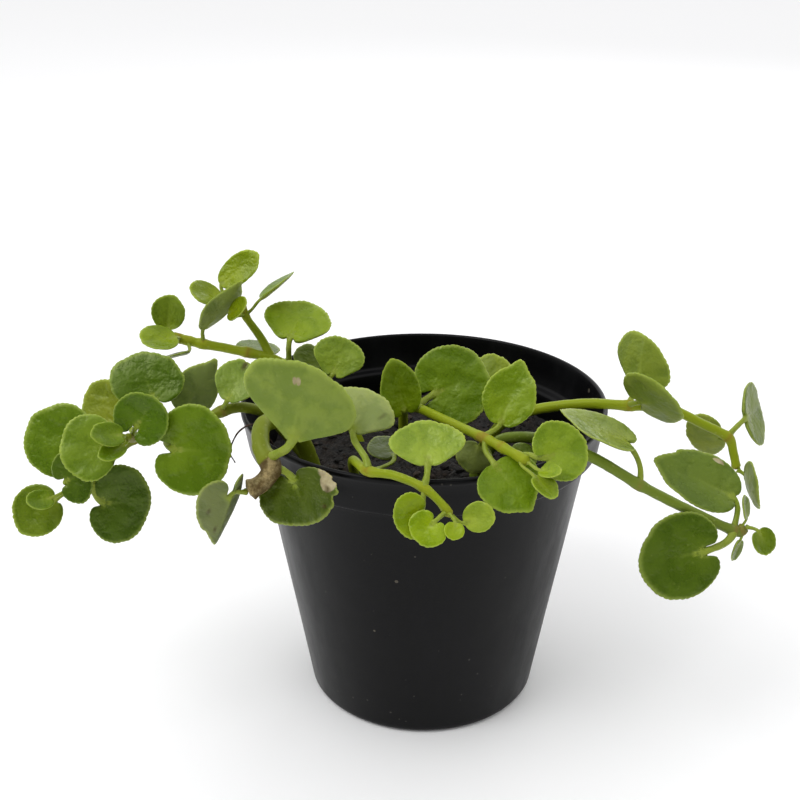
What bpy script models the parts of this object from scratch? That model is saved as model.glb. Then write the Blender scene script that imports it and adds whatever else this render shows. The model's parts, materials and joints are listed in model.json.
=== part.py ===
"""Potted trailing crassula: nursery pot, soil, seven stems and their single leaves.
Row frame: origin at the middle of the pot's base, +Z up, -Y the front, +X the right. Tables are in mm."""
import bpy
import bmesh
import math
import numpy as np
from mathutils import Vector

for old in list(bpy.data.objects):
    bpy.data.objects.remove(old)

MM = 0.001
POT_HEIGHT = 79.0
RIM_RADIUS = 45.0
BASE_RADIUS = 29.3
WALL = 1.1
COLLAR_DROP = 9.3
SOIL_TOP = 64.0
GAP = 0.3
SWELL = 1.25
TURNS = 56

# ------------------------------------------------------------------ stems
# Each path: the stem it belongs to, radius at its start and end, and its points from the soil outward.
PATHS = {
    "left_trailing": ("left_trailing_stem", 1.4, 1.0, [
        (-22, -9, 57), (-30, -10, 69), (-37, -12, 79), (-42, -15, 82.5), (-47, -17, 82.5), (-53, -19, 80),
        (-60, -20, 78), (-67, -22, 77.5), (-73, -24, 73), (-78, -25, 69), (-83, -27, 66)]),
    "left_side_shoot": ("left_trailing_stem", 1.0, 0.7, [
        (-67, -22, 77.5), (-67, -26, 79.5), (-66.5, -30.5, 82)]),
    "left_upper": ("left_upper_stem", 1.4, 1.1, [
        (-14, 6, 57), (-19, 7, 69), (-25, 7.5, 77.5), (-33, 10, 82), (-39, 11.5, 84.5), (-46, 12, 86),
        (-56, 12, 88), (-60.5, 12, 89), (-64, 12, 90)]),
    "left_upright": ("left_upper_stem", 1.2, 0.8, [
        (-38.5, 11.5, 84.2), (-41.5, 14, 89), (-45, 15, 94), (-46, 15, 97.5)]),
    "hanging": ("hanging_stem", 1.9, 2.1, [
        (-24, -17, 57), (-27, -19, 72), (-31, -22, 82), (-36, -27.5, 84), (-36, -34, 81.5),
        (-33.5, -37.5, 78), (-35.5, -39, 75), (-38.5, -40, 73.5)]),
    "front": ("front_stem", 1.1, 0.85, [
        (-14, -27, 57), (-15, -32, 71), (-15.5, -37.5, 80), (-12, -43.5, 80.6), (-6, -45.5, 80.5),
        (0, -48, 79), (3.5, -49.5, 76.5), (6, -50.5, 73.5)]),
    "middle": ("middle_stem", 1.2, 1.0, [
        (-4, 2, 57), (-5, -4, 73), (-3.5, -10, 81), (5.5, -22, 82.6), (14, -35, 84.2), (19, -41.5, 84.3),
        (22.5, -45.5, 83.9)]),
    "right_upper": ("right_upper_stem", 1.4, 1.0, [
        (12, -1, 57), (16, -2.5, 68), (20, -4, 74.5), (27, -7, 79), (38.5, -10, 82), (48.5, -12, 82.5),
        (57.5, -12, 82), (66, -12, 78), (72.5, -12, 74.5), (74, -13, 71), (75, -14, 67)]),
    "right_lower": ("right_lower_stem", 1.4, 1.1, [
        (10, -12, 57), (14, -14, 68), (18, -17, 75.5), (25.5, -25, 80), (32, -32.5, 81.5), (39, -34.5, 79),
        (48, -35, 73.5), (58, -35, 68), (70.5, -34, 61.5), (73, -34, 62.5)]),
}

# ------------------------------------------------------------------ leaves
# name: path, place along it, blade base, tip, upper side faces, width, lobes, cup, fold, curl
LEAVES = {
    "left_leaf_1": ("left_trailing", 9.0, (-80, -22, 72), (-92, -18, 81.5), (-0.1, -0.9, 0.4), 18.5, 0.12, 0.06, 0.02, 0.05),
    "left_leaf_2": ("left_trailing", 7.0, (-71.5, -15, 80), (-81.5, -10, 84), (0.1, -0.95, 0.25), 13, 0.1, 0.05, 0.0, 0.05),
    "left_leaf_3": ("left_side_shoot", 1.3, (-70.5, -31.5, 80), (-81.5, -34, 80.5), (-0.1, -0.85, 0.5), 15.5, 0.18, 0.08, 0.0, 0.05),
    "left_leaf_4": ("left_side_shoot", 1.0, (-65, -27.6, 83.2), (-60.2, -26.2, 90), (0.1, -0.9, 0.4), 13.3, 0.45, 0.08, 0.05, 0.0),
    "left_leaf_5": ("left_trailing", 6.0, (-62.5, -18, 85), (-67.5, -12.5, 95.5), (0.1, -0.9, 0.4), 17.5, 0.12, 0.05, 0.03, 0.08),
    "left_leaf_6": ("left_trailing", 9.5, (-82.2, -29.6, 70), (-76.3, -28.6, 72.8), (0.2, -0.9, 0.4), 13, 0.34, 0.08, 0.08, 0.0),
    "left_leaf_7": ("left_trailing", 10.0, (-85, -29, 65), (-95, -30.5, 59), (-0.2, -0.9, 0.35), 12.5, 0.12, 0.08, 0.04, 0.0),
    "left_leaf_8": ("left_trailing", 9.0, (-75.5, -25.5, 62.7), (-64.3, -22.5, 60), (0.15, -0.95, 0.25), 19.4, 0.27, 0.06, 0.04, 0.0),
    "left_leaf_9": ("left_trailing", 6.0, (-57.5, -27, 77.5), (-43, -28.5, 77), (0.1, -0.95, 0.3), 21.5, 0.34, 0.06, 0.02, 0.0),
    "left_leaf_10": ("left_trailing", 4.0, (-45.5, -19, 86), (-41, -13, 94), (-0.1, -0.8, 0.55), 11.5, 0.06, 0.1, 0.05, 0.1),
    "left_leaf_11": ("left_trailing", 5.0, (-58, -10, 79), (-50.5, -6, 90), (-0.2, 0.9, -0.15), 11, 0.05, 0.06, 0.1, 0.0),
    "high_leaf_1": ("left_upper", 7.9, (-65, 14, 91), (-64.5, 16, 100), (0.1, -0.95, 0.25), 8.7, 0.02, 0.08, 0.25, 0.0),
    "high_leaf_2": ("left_upper", 7.4, (-62, 8.5, 91), (-70, 3, 92), (-0.1, -0.5, 0.87), 9.5, 0.05, 0.1, 0.15, 0.0),
    "high_leaf_3": ("left_upper", 6.0, (-55.5, 11, 92.5), (-45, 8, 105.5), (-0.6, 0.65, 0.5), 10, 0.05, 0.05, 0.12, 0.0),
    "high_leaf_4": ("left_upright", 3.0, (-51.5, 17, 102), (-41.5, 19, 110), (-0.3, -0.85, 0.4), 7.8, 0.02, 0.06, 0.08, 0.0),
    "high_leaf_5": ("left_upright", 2.6, (-51, 14.5, 99.5), (-58.5, 10.5, 103), (0.1, -0.5, 0.85), 8, 0.02, 0.05, 0.1, 0.0),
    "high_leaf_6": ("left_upright", 2.3, (-41, 14, 99.5), (-33.5, 19, 104.5), (-0.5, 0.05, 0.85), 8, 0.02, 0.05, 0.2, 0.0),
    "high_leaf_7": ("left_upright", 2.2, (-48.5, 8.5, 97.5), (-43, 3, 102), (-0.3, -0.6, 0.7), 6.5, 0.02, 0.06, 0.1, 0.0),
    "high_leaf_8": ("left_upper", 4.8, (-46, 18, 83.5), (-40, 27, 83), (0.1, 0.0, 1.0), 12, 0.1, 0.05, 0.0, 0.05),
    "high_leaf_9": ("left_upper", 6.8, (-59, 7.5, 87.5), (-65.5, 3, 87.5), (0.1, 0.5, 0.85), 7, 0.05, 0.05, 0.1, 0.0),
    "high_leaf_10": ("left_upper", 3.2, (-33.5, 8.5, 91), (-30, 18.5, 98), (0.0, -0.5, 0.86), 18.5, 0.12, 0.08, 0.05, 0.1),
    "high_leaf_11": ("left_upper", 2.4, (-22.5, 2, 84), (-19.5, 8, 92), (0.15, -0.7, 0.7), 13.5, 0.12, 0.08, 0.05, 0.05),
    "high_leaf_12": ("left_upper", 2.6, (-28, 13, 80.5), (-31.5, 20, 85), (0.1, -0.6, 0.8), 8, 0.1, 0.06, 0.0, 0.0),
    "hanging_leaf_1": ("hanging", 4.6, (-28, -42, 87), (-25, -38.5, 104), (0.0, 0.98, -0.15), 26, 0.02, 0.04, 0.02, 0.12),
    "hanging_leaf_2": ("hanging", 5.0, (-28.6, -38.6, 76), (-24.2, -45.1, 67.8), (-0.53, -0.75, 0.4), 22, 0.22, 0.05, 0.04, 0.0),
    "hanging_leaf_3": ("hanging", 7.0, (-42, -43.5, 74.3), (-46.5, -39.5, 60.5), (-0.55, 0.72, 0.0), 11, 0.36, 0.03, 0.7, 0.0),
    "front_leaf_1": ("front", 3.0, (-15.5, -37, 87), (-11.5, -29.5, 93.5), (0.0, 0.75, -0.6), 16, 0.08, 0.06, 0.02, 0.1),
    "front_leaf_2": ("front", 3.1, (-6.5, -30, 77.5), (-11, -20, 77.5), (0.0, -0.4, 0.92), 8.5, 0.1, 0.08, 0.0, 0.0),
    "front_leaf_3": ("front", 5.0, (1, -45.5, 83), (0.5, -38.5, 90.5), (0.0, -0.78, 0.62), 17, 0.05, 0.07, 0.06, 0.05),
    "front_leaf_4": ("front", 5.1, (-0.6, -51, 74.4), (-6.4, -52.5, 73.6), (0.0, -0.95, 0.3), 10.5, 0.35, 0.06, 0.1, 0.0),
    "front_leaf_5": ("front", 6.6, (2.5, -53.5, 73.8), (-1.5, -55.5, 70.2), (-0.15, -0.85, 0.5), 9, 0.25, 0.1, 0.04, 0.1),
    "front_leaf_6": ("front", 7.0, (8.8, -51.4, 72.3), (15.2, -50.4, 75.2), (-0.1, -0.9, 0.4), 6.8, 0.02, 0.08, 0.05, 0.0),
    "middle_leaf_1": ("middle", 2.1, (-4.5, -15.5, 82), (-7.5, -15.5, 95.5), (0.25, -0.9, 0.3), 10, 0.12, 0.05, 0.25, 0.0),
    "middle_leaf_2": ("middle", 2.2, (2.5, -9.5, 84), (15.5, -7, 89.5), (-0.1, -0.9, 0.45), 20, 0.35, 0.05, 0.02, 0.08),
    "middle_leaf_3": ("middle", 3.9, (17, -31.5, 86.3), (21.5, -26, 98.5), (-0.15, -0.9, 0.4), 12.5, 0.06, 0.08, 0.08, 0.05),
    "middle_leaf_4": ("middle", 4.0, (15.2, -42.1, 81.9), (22.5, -49.1, 75.1), (0.3, -0.8, 0.55), 15.2, 0.04, 0.08, 0.05, 0.08),
    "middle_leaf_5": ("middle", 5.5, (26, -46.5, 85.5), (34, -44, 89), (-0.1, -0.88, 0.45), 13.7, 0.3, 0.1, 0.05, 0.0),
    "middle_leaf_6": ("middle", 3.8, (13, -25, 78), (10, -28, 72.5), (0.25, 0.9, 0.1), 9, 0.1, 0.05, 0.1, 0.0),
    "middle_leaf_7": ("middle", 4.6, (20, -29, 78.3), (26, -28, 76.3), (0.0, -0.5, 0.87), 6.5, 0.05, 0.05, 0.05, 0.0),
    "right_leaf_1": ("right_upper", 2.2, (17, 2, 78.5), (16, 8, 87.5), (0.1, 0.9, -0.35), 12, 0.05, 0.05, 0.02, 0.0),
    "right_leaf_2": ("right_upper", 5.0, (50.5, -15.5, 85), (56, -25.5, 90.5), (0.6, 0.6, 0.5), 17, 0.25, 0.04, 0.1, 0.0),
    "right_leaf_3": ("right_upper", 5.0, (51.3, -8, 86), (52.3, -3, 97.5), (0.4, 0.8, -0.5), 14, 0.1, 0.04, 0.4, 0.0),
    "right_leaf_4": ("right_upper", 8.0, (71.5, -7.5, 73), (64.3, -4, 71), (0.1, 0.9, 0.2), 13.2, 0.2, 0.06, 0.02, 0.0),
    "right_leaf_5": ("right_upper", 8.0, (77, -9, 78), (83, 0, 77), (0.75, -0.55, 0.35), 16, 0.1, 0.05, 0.12, 0.0),
    "right_leaf_6": ("right_upper", 10.0, (77, -15.5, 66), (78, -25, 65), (0.9, 0.3, 0.25), 13, 0.05, 0.06, 0.1, 0.0),
    "low_leaf_1": ("right_lower", 6.0, (45, -32.5, 82.5), (30.5, -29, 87.5), (0.15, -0.1, 1.0), 12.5, 0.2, 0.05, 0.15, -0.06),
    "low_leaf_2": ("right_lower", 8.0, (71, -30, 67.5), (54, -24.5, 75), (-0.15, -0.5, 0.85), 14.5, 0.08, 0.05, 0.12, 0.05),
    "low_leaf_3": ("right_lower", 8.0, (62.9, -40, 59.4), (48, -41.5, 56.8), (-0.1, -0.92, 0.35), 20, 0.3, 0.04, 0.02, 0.1),
    "low_leaf_4": ("right_lower", 9.0, (75.3, -36.5, 62.8), (78.2, -38.5, 58), (0.4, -0.8, 0.4), 6.5, 0.1, 0.08, 0.1, 0.0),
}

# Young leaves at the growing tips are still one piece with their stem, in the same columns.
YOUNG = {
    "left_trailing_stem": [
        ("left_side_shoot", 1.7, (-67, -33, 83.5), (-73, -37.5, 86), (-0.1, -0.75, 0.65), 6, 0.1, 0.1, 0.1, 0.0),
        ("left_side_shoot", 1.6, (-67, -33, 81), (-71.5, -38, 80), (0.1, -0.6, 0.8), 5, 0.1, 0.1, 0.2, 0.0),
        ("left_trailing", 9.7, (-85, -32, 67), (-89.5, -36.5, 68), (-0.1, -0.7, 0.7), 5.5, 0.1, 0.1, 0.1, 0.0)],
    "front_stem": [
        ("front", 6.7, (6.8, -54, 73.8), (6.3, -56.8, 71.2), (0.1, -0.8, 0.6), 4.5, 0.1, 0.1, 0.1, 0.0)],
    "middle_stem": [
        ("middle", 5.5, (23.5, -49, 82.3), (27.5, -53, 79), (0.6, -0.6, 0.5), 6, 0.05, 0.1, 0.3, 0.0),
        ("middle", 5.8, (24.5, -49.5, 84), (28.5, -53.5, 85.5), (0.0, -0.5, 0.85), 4, 0.05, 0.1, 0.2, 0.0)],
    "right_lower_stem": [
        ("right_lower", 8.7, (73, -34.5, 65), (71.5, -35, 71), (0.8, -0.5, 0.2), 4, 0.05, 0.1, 0.2, 0.0),
        ("right_lower", 8.5, (72, -35, 59.5), (70.5, -36, 54.5), (0.7, -0.6, 0.1), 4.5, 0.05, 0.1, 0.1, 0.0)],
}

# Outline of the blades that are not plain round: sheared, pointed, broader towards the base
OUTLINES = {
    "left_leaf_5": (-0.15, 0.0, 0.0), "left_leaf_11": (0.0, 0.12, 0.15), "high_leaf_3": (0.0, 0.06, 0.1),
    "high_leaf_6": (0.0, 0.1, 0.1), "high_leaf_10": (0.0, 0.03, 0.06), "hanging_leaf_1": (0.2, 0.0, -0.08),
    "hanging_leaf_2": (-0.2, 0.0, 0.0), "hanging_leaf_3": (0.0, 0.12, 0.15), "middle_leaf_1": (0.0, 0.03, 0.06),
    "middle_leaf_3": (0.0, 0.1, 0.14), "middle_leaf_4": (0.0, 0.1, 0.08), "right_leaf_2": (0.0, 0.0, 0.1),
    "right_leaf_3": (0.45, 0.0, 0.1), "right_leaf_5": (0.0, 0.0, 0.1), "low_leaf_1": (0.0, 0.08, 0.1),
    "low_leaf_2": (0.0, 0.06, 0.1), "low_leaf_3": (-0.1, 0.0, 0.0), "front_leaf_3": (0.0, 0.02, 0.05),
}

COLUMNS = 10
FOOT_STEPS = 3
BLADE_STEPS = (0.0, 0.35, 0.7)


def unit(v):
    v = np.asarray(v, float)
    return v / np.linalg.norm(v)


def smoothed(points, per_span):
    """Catmull-Rom through the points, per_span pieces between neighbours."""
    p = [np.asarray(q, float) for q in points]
    p = [2 * p[0] - p[1]] + p + [2 * p[-1] - p[-2]]
    out = []
    for i in range(1, len(p) - 2):
        a, b, c, d = p[i - 1:i + 3]
        for k in range(per_span):
            t = k / per_span
            out.append(0.5 * (2 * b + (c - a) * t + (2 * a - 5 * b + 4 * c - d) * t * t
                              + (3 * b - a - 3 * c + d) * t ** 3))
    out.append(p[-2])
    return out


def at_path(path, place):
    """Point, direction and radius at a place (point number and fraction) along a path."""
    _, r0, r1, points = PATHS[path]
    fine = smoothed(points, 8)
    k = min(int(round(place * 8)), len(fine) - 1)
    before, after = fine[max(k - 1, 0)], fine[min(k + 1, len(fine) - 1)]
    share = k / (len(fine) - 1)
    return fine[k], unit(after - before), r0 + (r1 - r0) * share


def blade_point(shape, u, v):
    """Height of the blade's middle surface over its plane."""
    length, half, centre, reach, cup, fold, curl = shape
    q = ((u - centre) / reach) ** 2 + (v / half) ** 2 - (centre / reach) ** 2
    ridge = math.sqrt(v * v + 0.25) - 0.5
    return cup * half * q + fold * ridge - curl * max(u, 0.0) ** 2 / length


def leaf_parts(row, outline=(0.0, 0.0, 0.0), sunk=False):
    """Rings of the blade from the stalk out to its margin, the last one open, then the stalk's points and radii."""
    path, place, base, tip, face, width, lobe, cup, fold, curl = row
    base, tip = np.array(base, float), np.array(tip, float)
    m = unit(tip - base)
    n = unit(np.array(face) - np.dot(face, m) * m)
    s = np.cross(n, m)
    length = np.linalg.norm(tip - base)
    back = lobe * length
    reach, centre, half = (length + back) / 2, (length - back) / 2, width / 2
    shape = (length, half, centre, reach, cup, fold, curl)
    stalk = 0.35 + 0.04 * width
    thick = 0.45 + 0.035 * width

    start, along, radius = at_path(path, place)
    toward = unit(base - start)
    out = unit(toward - 0.8 * np.dot(toward, along) * along) if place < len(PATHS[path][3]) - 1.2 else toward
    foot = start + out * (0.0 if sunk else radius * SWELL + 2 * GAP)
    run = np.linalg.norm(base - foot)
    arrive = unit(0.55 * m + 0.45 * unit(base - foot))
    b = [foot, foot + out * run * 0.35, base - arrive * run * 0.35, base]
    line, radii = [], []
    steps = max(1, min(FOOT_STEPS, int(run / (1.8 * stalk))))
    for k in range(steps + 1):
        t = k / steps
        line.append((1 - t) ** 3 * b[0] + 3 * t * (1 - t) ** 2 * b[1] + 3 * t * t * (1 - t) * b[2] + t ** 3 * b[3])
        radii.append(stalk * (0.75 + 0.1 * t))
    line.append(base + (m * 1.4 + arrive * 0.45) * stalk - n * 0.08 * thick)
    radii.append(0.25 * thick)

    shear, point, broad = outline
    wrap = min(1.0, lobe / 0.3)
    margin = []
    for j in range(COLUMNS + 1):
        p = 2 * j / COLUMNS - 1
        phi = p * math.radians(164 + 8 * wrap)
        pull = 1 - (0.45 - 0.3 * wrap) * (max(abs(p) - 0.75, 0) / 0.25) ** 2
        pull *= 1 + point * math.exp(-(phi / 0.32) ** 2)
        v = half * math.sin(phi) * (1 - broad * math.cos(phi))
        margin.append(((centre + reach * math.cos(phi) - shear * v) * pull, v * pull))

    def place_in_blade(r, j, lift):
        p = 2 * j / COLUMNS - 1
        u = r * margin[j][0] + (1 - r) * stalk * 0.4 * math.cos(p * math.pi / 2)
        v = r * margin[j][1] + (1 - r) * stalk * 0.8 * math.sin(p * math.pi / 2)
        return base + m * u + s * v + n * (blade_point(shape, u, v) + lift)

    rings = []
    for r in BLADE_STEPS:
        body = thick * (1 - r * r) ** 0.5
        ring = []
        for j in range(2 * COLUMNS):
            k = j if j <= COLUMNS else 2 * COLUMNS - j
            inner = math.sin(math.pi * k / COLUMNS) ** 0.5 if 0 < k < COLUMNS else 0.0
            lift = (0.4 if j <= COLUMNS else -0.6) * body * inner
            ring.append(place_in_blade(r, k, lift))
        rings.append(ring)
    rings.append([place_in_blade(1.0, j, 0.0) for j in range(COLUMNS + 1)])
    return rings, line, radii


def blade_mesh(name, rings):
    bm = bmesh.new()
    made = [[bm.verts.new(Vector(p) * MM) for p in ring] for ring in rings]
    n = 2 * COLUMNS
    first = made[0]
    for j in range(COLUMNS):
        wall = [first[j], first[-j % n], first[(-j - 1) % n], first[j + 1]]
        bm.faces.new([v for i, v in enumerate(wall) if v not in wall[:i]])
    for a, b in zip(made[:-2], made[1:-1]):
        for j in range(n):
            bm.faces.new((a[j], a[(j + 1) % n], b[(j + 1) % n], b[j]))
    last, edge = made[-2], made[-1]
    for j in range(n):
        k, k2 = (j if j <= COLUMNS else n - j), (j + 1 if j + 1 <= COLUMNS else n - j - 1)
        bm.faces.new((last[j], last[(j + 1) % n], edge[k2], edge[k]))
    bmesh.ops.triangulate(bm, faces=bm.faces[:], quad_method="SHORT_EDGE")
    bmesh.ops.recalc_face_normals(bm, faces=bm.faces[:])
    mesh = bpy.data.meshes.new(name)
    bm.to_mesh(mesh)
    bm.free()
    return mesh


def material(name, colour, roughness):
    made = bpy.data.materials.new(name)
    made.use_nodes = True
    shader = made.node_tree.nodes["Principled BSDF"]
    shader.inputs["Base Color"].default_value = (*colour, 1)
    shader.inputs["Roughness"].default_value = roughness
    return made


plant = bpy.data.collections.new("potted_crassula")
tools = bpy.data.collections.new("cutters")
bpy.context.scene.collection.children.link(plant)
bpy.context.scene.collection.children.link(tools)


def add(name, data, where, colour=None, roughness=0.5):
    made = bpy.data.objects.new(name, data)
    where.objects.link(made)
    if where is tools:
        made.hide_render = True
        made.display_type = "WIRE"
    elif colour:
        data.materials.clear()
        data.materials.append(material(name + "_surface", colour, roughness))
    return made


def cut(target, tool, operation="DIFFERENCE"):
    made = target.modifiers.new(tool.name, "BOOLEAN")
    made.operation = operation
    made.solver = "EXACT"
    made.object = tool


def tube_mesh(name, points, radii, sides_step=1):
    """Closed tube along the points as a mesh with flat ends."""
    curve = bpy.data.curves.new(name + "_line", "CURVE")
    curve.dimensions = "3D"
    curve.bevel_depth = MM
    curve.bevel_resolution = sides_step
    curve.use_fill_caps = True
    spline = curve.splines.new("POLY")
    spline.points.add(len(points) - 1)
    for point, where, radius in zip(spline.points, points, radii):
        point.co = (*(Vector(where) * MM), 1)
        point.radius = radius
    holder = bpy.data.objects.new(name + "_line", curve)
    tools.objects.link(holder)
    bpy.context.view_layer.update()
    evaluated = holder.evaluated_get(bpy.context.evaluated_depsgraph_get())
    mesh = bpy.data.meshes.new_from_object(evaluated)
    bpy.data.objects.remove(holder)
    bm = bmesh.new()
    bm.from_mesh(mesh)
    bmesh.ops.remove_doubles(bm, verts=bm.verts[:], dist=1e-6)
    bmesh.ops.recalc_face_normals(bm, faces=bm.faces[:])
    bm.to_mesh(mesh)
    bm.free()
    mesh.name = name
    return mesh


# ------------------------------------------------------------------ pot
collar_z = POT_HEIGHT - COLLAR_DROP
outer = [
    (BASE_RADIUS - 1.0, 0.0), (BASE_RADIUS - 0.2, 0.4), (BASE_RADIUS + 0.1, 1.4),
    (40.8, collar_z - 1.6), (42.2, collar_z - 1.0), (43.3, collar_z),
    (RIM_RADIUS - 0.3, POT_HEIGHT - 0.9), (RIM_RADIUS, POT_HEIGHT - 0.4), (RIM_RADIUS - 0.3, POT_HEIGHT)]
inner = [
    (RIM_RADIUS - WALL + 0.1, POT_HEIGHT), (RIM_RADIUS - WALL - 0.1, POT_HEIGHT - 0.6),
    (43.3 - WALL, collar_z + 0.4), (41.0, collar_z - 0.6), (39.7, collar_z - 1.4),
    (BASE_RADIUS - WALL + 0.3, 2.2), (BASE_RADIUS - WALL - 0.6, 1.3)]
profile = [(0.0, 1.3)] + inner[::-1] + outer[::-1] + [(0.0, 0.0)]
line = bpy.data.meshes.new("pot_profile")
line.from_pydata([(r * MM, 0, z * MM) for r, z in profile[::-1]], [(i, i + 1) for i in range(len(profile) - 1)], [])
pot = add("pot", line, plant, (0.02, 0.021, 0.024), 0.35)
screw = pot.modifiers.new("turn", "SCREW")
screw.axis = "Z"
screw.steps = screw.render_steps = TURNS
screw.use_merge_vertices = True
screw.merge_threshold = 1e-5
screw.use_smooth_shade = True
for k in range(6):
    hole = bpy.data.meshes.new("drain_%d" % k)
    bm = bmesh.new()
    bmesh.ops.create_cone(bm, cap_ends=True, segments=14, radius1=0.003, radius2=0.003, depth=0.006)
    turn = math.radians(60 * k + 30)
    bmesh.ops.translate(bm, verts=bm.verts[:], vec=(0.0205 * math.cos(turn), 0.0205 * math.sin(turn), 0.0006))
    bm.to_mesh(hole)
    bm.free()
    cut(pot, add("drain_%d" % k, hole, tools))

# ------------------------------------------------------------------ soil
RINGS, SPOKES = 9, 30
soil_mesh = bpy.data.meshes.new("soil")
bm = bmesh.new()
wall_inside = lambda z: BASE_RADIUS - WALL + (40.8 - BASE_RADIUS) * z / (collar_z - 1.6)
top_rings = []
for i in range(1, RINGS + 1):
    ring = []
    for k in range(SPOKES):
        a = 2 * math.pi * (k + 0.5 * (i % 2)) / SPOKES
        rough = 0.9 * math.sin(3 * a + 1.7 * i) + 0.6 * math.sin(7 * a - 2.3 * i) + 0.4 * math.sin(11 * a + 5 * i)
        z = SOIL_TOP + 0.8 * rough * min(1.0, (RINGS - i) / 3 + 0.35) - 1.2 * (i / RINGS) ** 2
        r = (wall_inside(SOIL_TOP) - 0.8) * i / RINGS
        ring.append(bm.verts.new((r * math.cos(a) * MM, r * math.sin(a) * MM, z * MM)))
    top_rings.append(ring)
peak = bm.verts.new((0, 0, (SOIL_TOP + 0.6) * MM))
low = []
for k in range(SPOKES):
    a = 2 * math.pi * (k + 0.5 * (RINGS % 2)) / SPOKES
    r = wall_inside(2.6) - 0.8
    low.append(bm.verts.new((r * math.cos(a) * MM, r * math.sin(a) * MM, 2.6 * MM)))
for k in range(SPOKES):
    bm.faces.new((peak, top_rings[0][k], top_rings[0][(k + 1) % SPOKES]))
rows = top_rings + [low]
for i in range(len(rows) - 1):
    for k in range(SPOKES):
        a, b = rows[i], rows[i + 1]
        bm.faces.new((a[k], b[k], b[(k + 1) % SPOKES], a[(k + 1) % SPOKES]))
bm.faces.new(low[::-1])
bmesh.ops.triangulate(bm, faces=bm.faces[:])
bmesh.ops.recalc_face_normals(bm, faces=bm.faces[:])
bm.to_mesh(soil_mesh)
bm.free()
soil = add("soil", soil_mesh, plant, (0.03, 0.02, 0.013), 0.95)

# ------------------------------------------------------------------ stems
stems = {}
for path, (stem, r0, r1, points) in PATHS.items():
    fine = smoothed(points, 2)
    radii = []
    for k in range(len(fine)):
        swell = SWELL if k % 2 == 0 and 4 < k < len(fine) - 1 else 1.0
        radii.append((r0 + (r1 - r0) * k / (len(fine) - 1)) * swell)
    mesh = tube_mesh(path, fine, radii)
    if stem not in stems:
        stems[stem] = add(stem, mesh, plant, (0.22, 0.33, 0.06), 0.45)
        deep = [fine[0] - unit(fine[1] - fine[0])] + fine[:6]
        socket = tube_mesh(path + "_socket", deep, [r + GAP for r in radii[:1] + radii[:6]])
        cut(soil, add(path + "_socket", socket, tools))
    else:
        cut(stems[stem], add(path, mesh, tools), "UNION")
for stem, rows in YOUNG.items():
    for k, row in enumerate(rows):
        name = "%s_young_%d" % (stem, k)
        rings, line, radii = leaf_parts(row, sunk=True)
        cut(stems[stem], add(name + "_stalk", tube_mesh(name + "_stalk", line, radii), tools), "UNION")
        cut(stems[stem], add(name, blade_mesh(name, rings), tools), "UNION")
for made in stems.values():
    for face in made.data.polygons:
        face.use_smooth = True

# ------------------------------------------------------------------ leaves
for name, row in LEAVES.items():
    rings, line, radii = leaf_parts(row, OUTLINES.get(name, (0.0, 0.0, 0.0)))
    leaf = add(name, blade_mesh(name, rings), plant, (0.13, 0.27, 0.02), 0.4)
    cut(leaf, add(name + "_stalk", tube_mesh(name + "_stalk", line, radii), tools), "UNION")
    for face in leaf.data.polygons:
        face.use_smooth = True

# ------------------------------------------------------------------ dry rootlet hanging over the rim
root_line = smoothed([(-33, -14, 66), (-35.5, -16, 73), (-39, -19.5, 80), (-42.5, -23, 80), (-44.5, -25, 76), (-43, -28, 74.5)], 3)
add("dry_rootlet", tube_mesh("dry_rootlet", root_line, [0.35] * len(root_line), 0), plant, (0.06, 0.03, 0.02), 0.8)
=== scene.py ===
import bpy
import bmesh
import json
import math
import numpy as np
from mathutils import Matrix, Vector, noise
from mathutils.kdtree import KDTree

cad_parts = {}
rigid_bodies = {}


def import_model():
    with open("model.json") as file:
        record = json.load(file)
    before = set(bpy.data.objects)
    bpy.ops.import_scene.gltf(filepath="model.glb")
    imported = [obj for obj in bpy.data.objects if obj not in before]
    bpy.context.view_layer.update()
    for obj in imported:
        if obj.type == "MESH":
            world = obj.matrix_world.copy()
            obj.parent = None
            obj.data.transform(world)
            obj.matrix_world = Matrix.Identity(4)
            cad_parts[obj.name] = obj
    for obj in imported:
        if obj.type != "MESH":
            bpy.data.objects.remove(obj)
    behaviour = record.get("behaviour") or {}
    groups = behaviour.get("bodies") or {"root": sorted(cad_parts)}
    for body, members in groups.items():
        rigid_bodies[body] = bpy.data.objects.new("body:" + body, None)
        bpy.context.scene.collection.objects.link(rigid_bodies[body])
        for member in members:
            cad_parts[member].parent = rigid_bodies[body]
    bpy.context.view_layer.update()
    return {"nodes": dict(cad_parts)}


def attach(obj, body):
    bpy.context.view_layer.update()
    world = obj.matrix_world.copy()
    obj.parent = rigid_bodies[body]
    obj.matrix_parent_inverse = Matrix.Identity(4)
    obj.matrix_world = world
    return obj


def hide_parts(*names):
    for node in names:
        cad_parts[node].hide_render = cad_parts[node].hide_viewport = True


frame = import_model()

# Trailing crassula in a black nursery pot. Lengths in the plans are millimetres, placed as in the frame.
mm = 0.001
print("frame loaded,", len(frame["nodes"]), "nodes")


def rgb(red, green, blue):  # everyday 0-255 colour to linear
    out = []
    for c in (red, green, blue):
        c = c / 255
        out.append(c / 12.92 if c <= 0.04045 else ((c + 0.055) / 1.055) ** 2.4)
    return (*out, 1.0)


def unit(v):
    v = np.asarray(v, float)
    return v / np.linalg.norm(v)


def smoothed(points, perSpan):  # Catmull-Rom through the points
    p = [np.asarray(q, float) for q in points]
    p = [2 * p[0] - p[1]] + p + [2 * p[-1] - p[-2]]
    out = []
    for i in range(1, len(p) - 2):
        a, b, c, d = p[i - 1:i + 3]
        for k in range(perSpan):
            t = k / perSpan
            out.append(0.5 * (2 * b + (c - a) * t + (2 * a - 5 * b + 4 * c - d) * t * t
                              + (3 * b - a - 3 * c + d) * t ** 3))
    out.append(p[-2])
    return out


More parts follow.
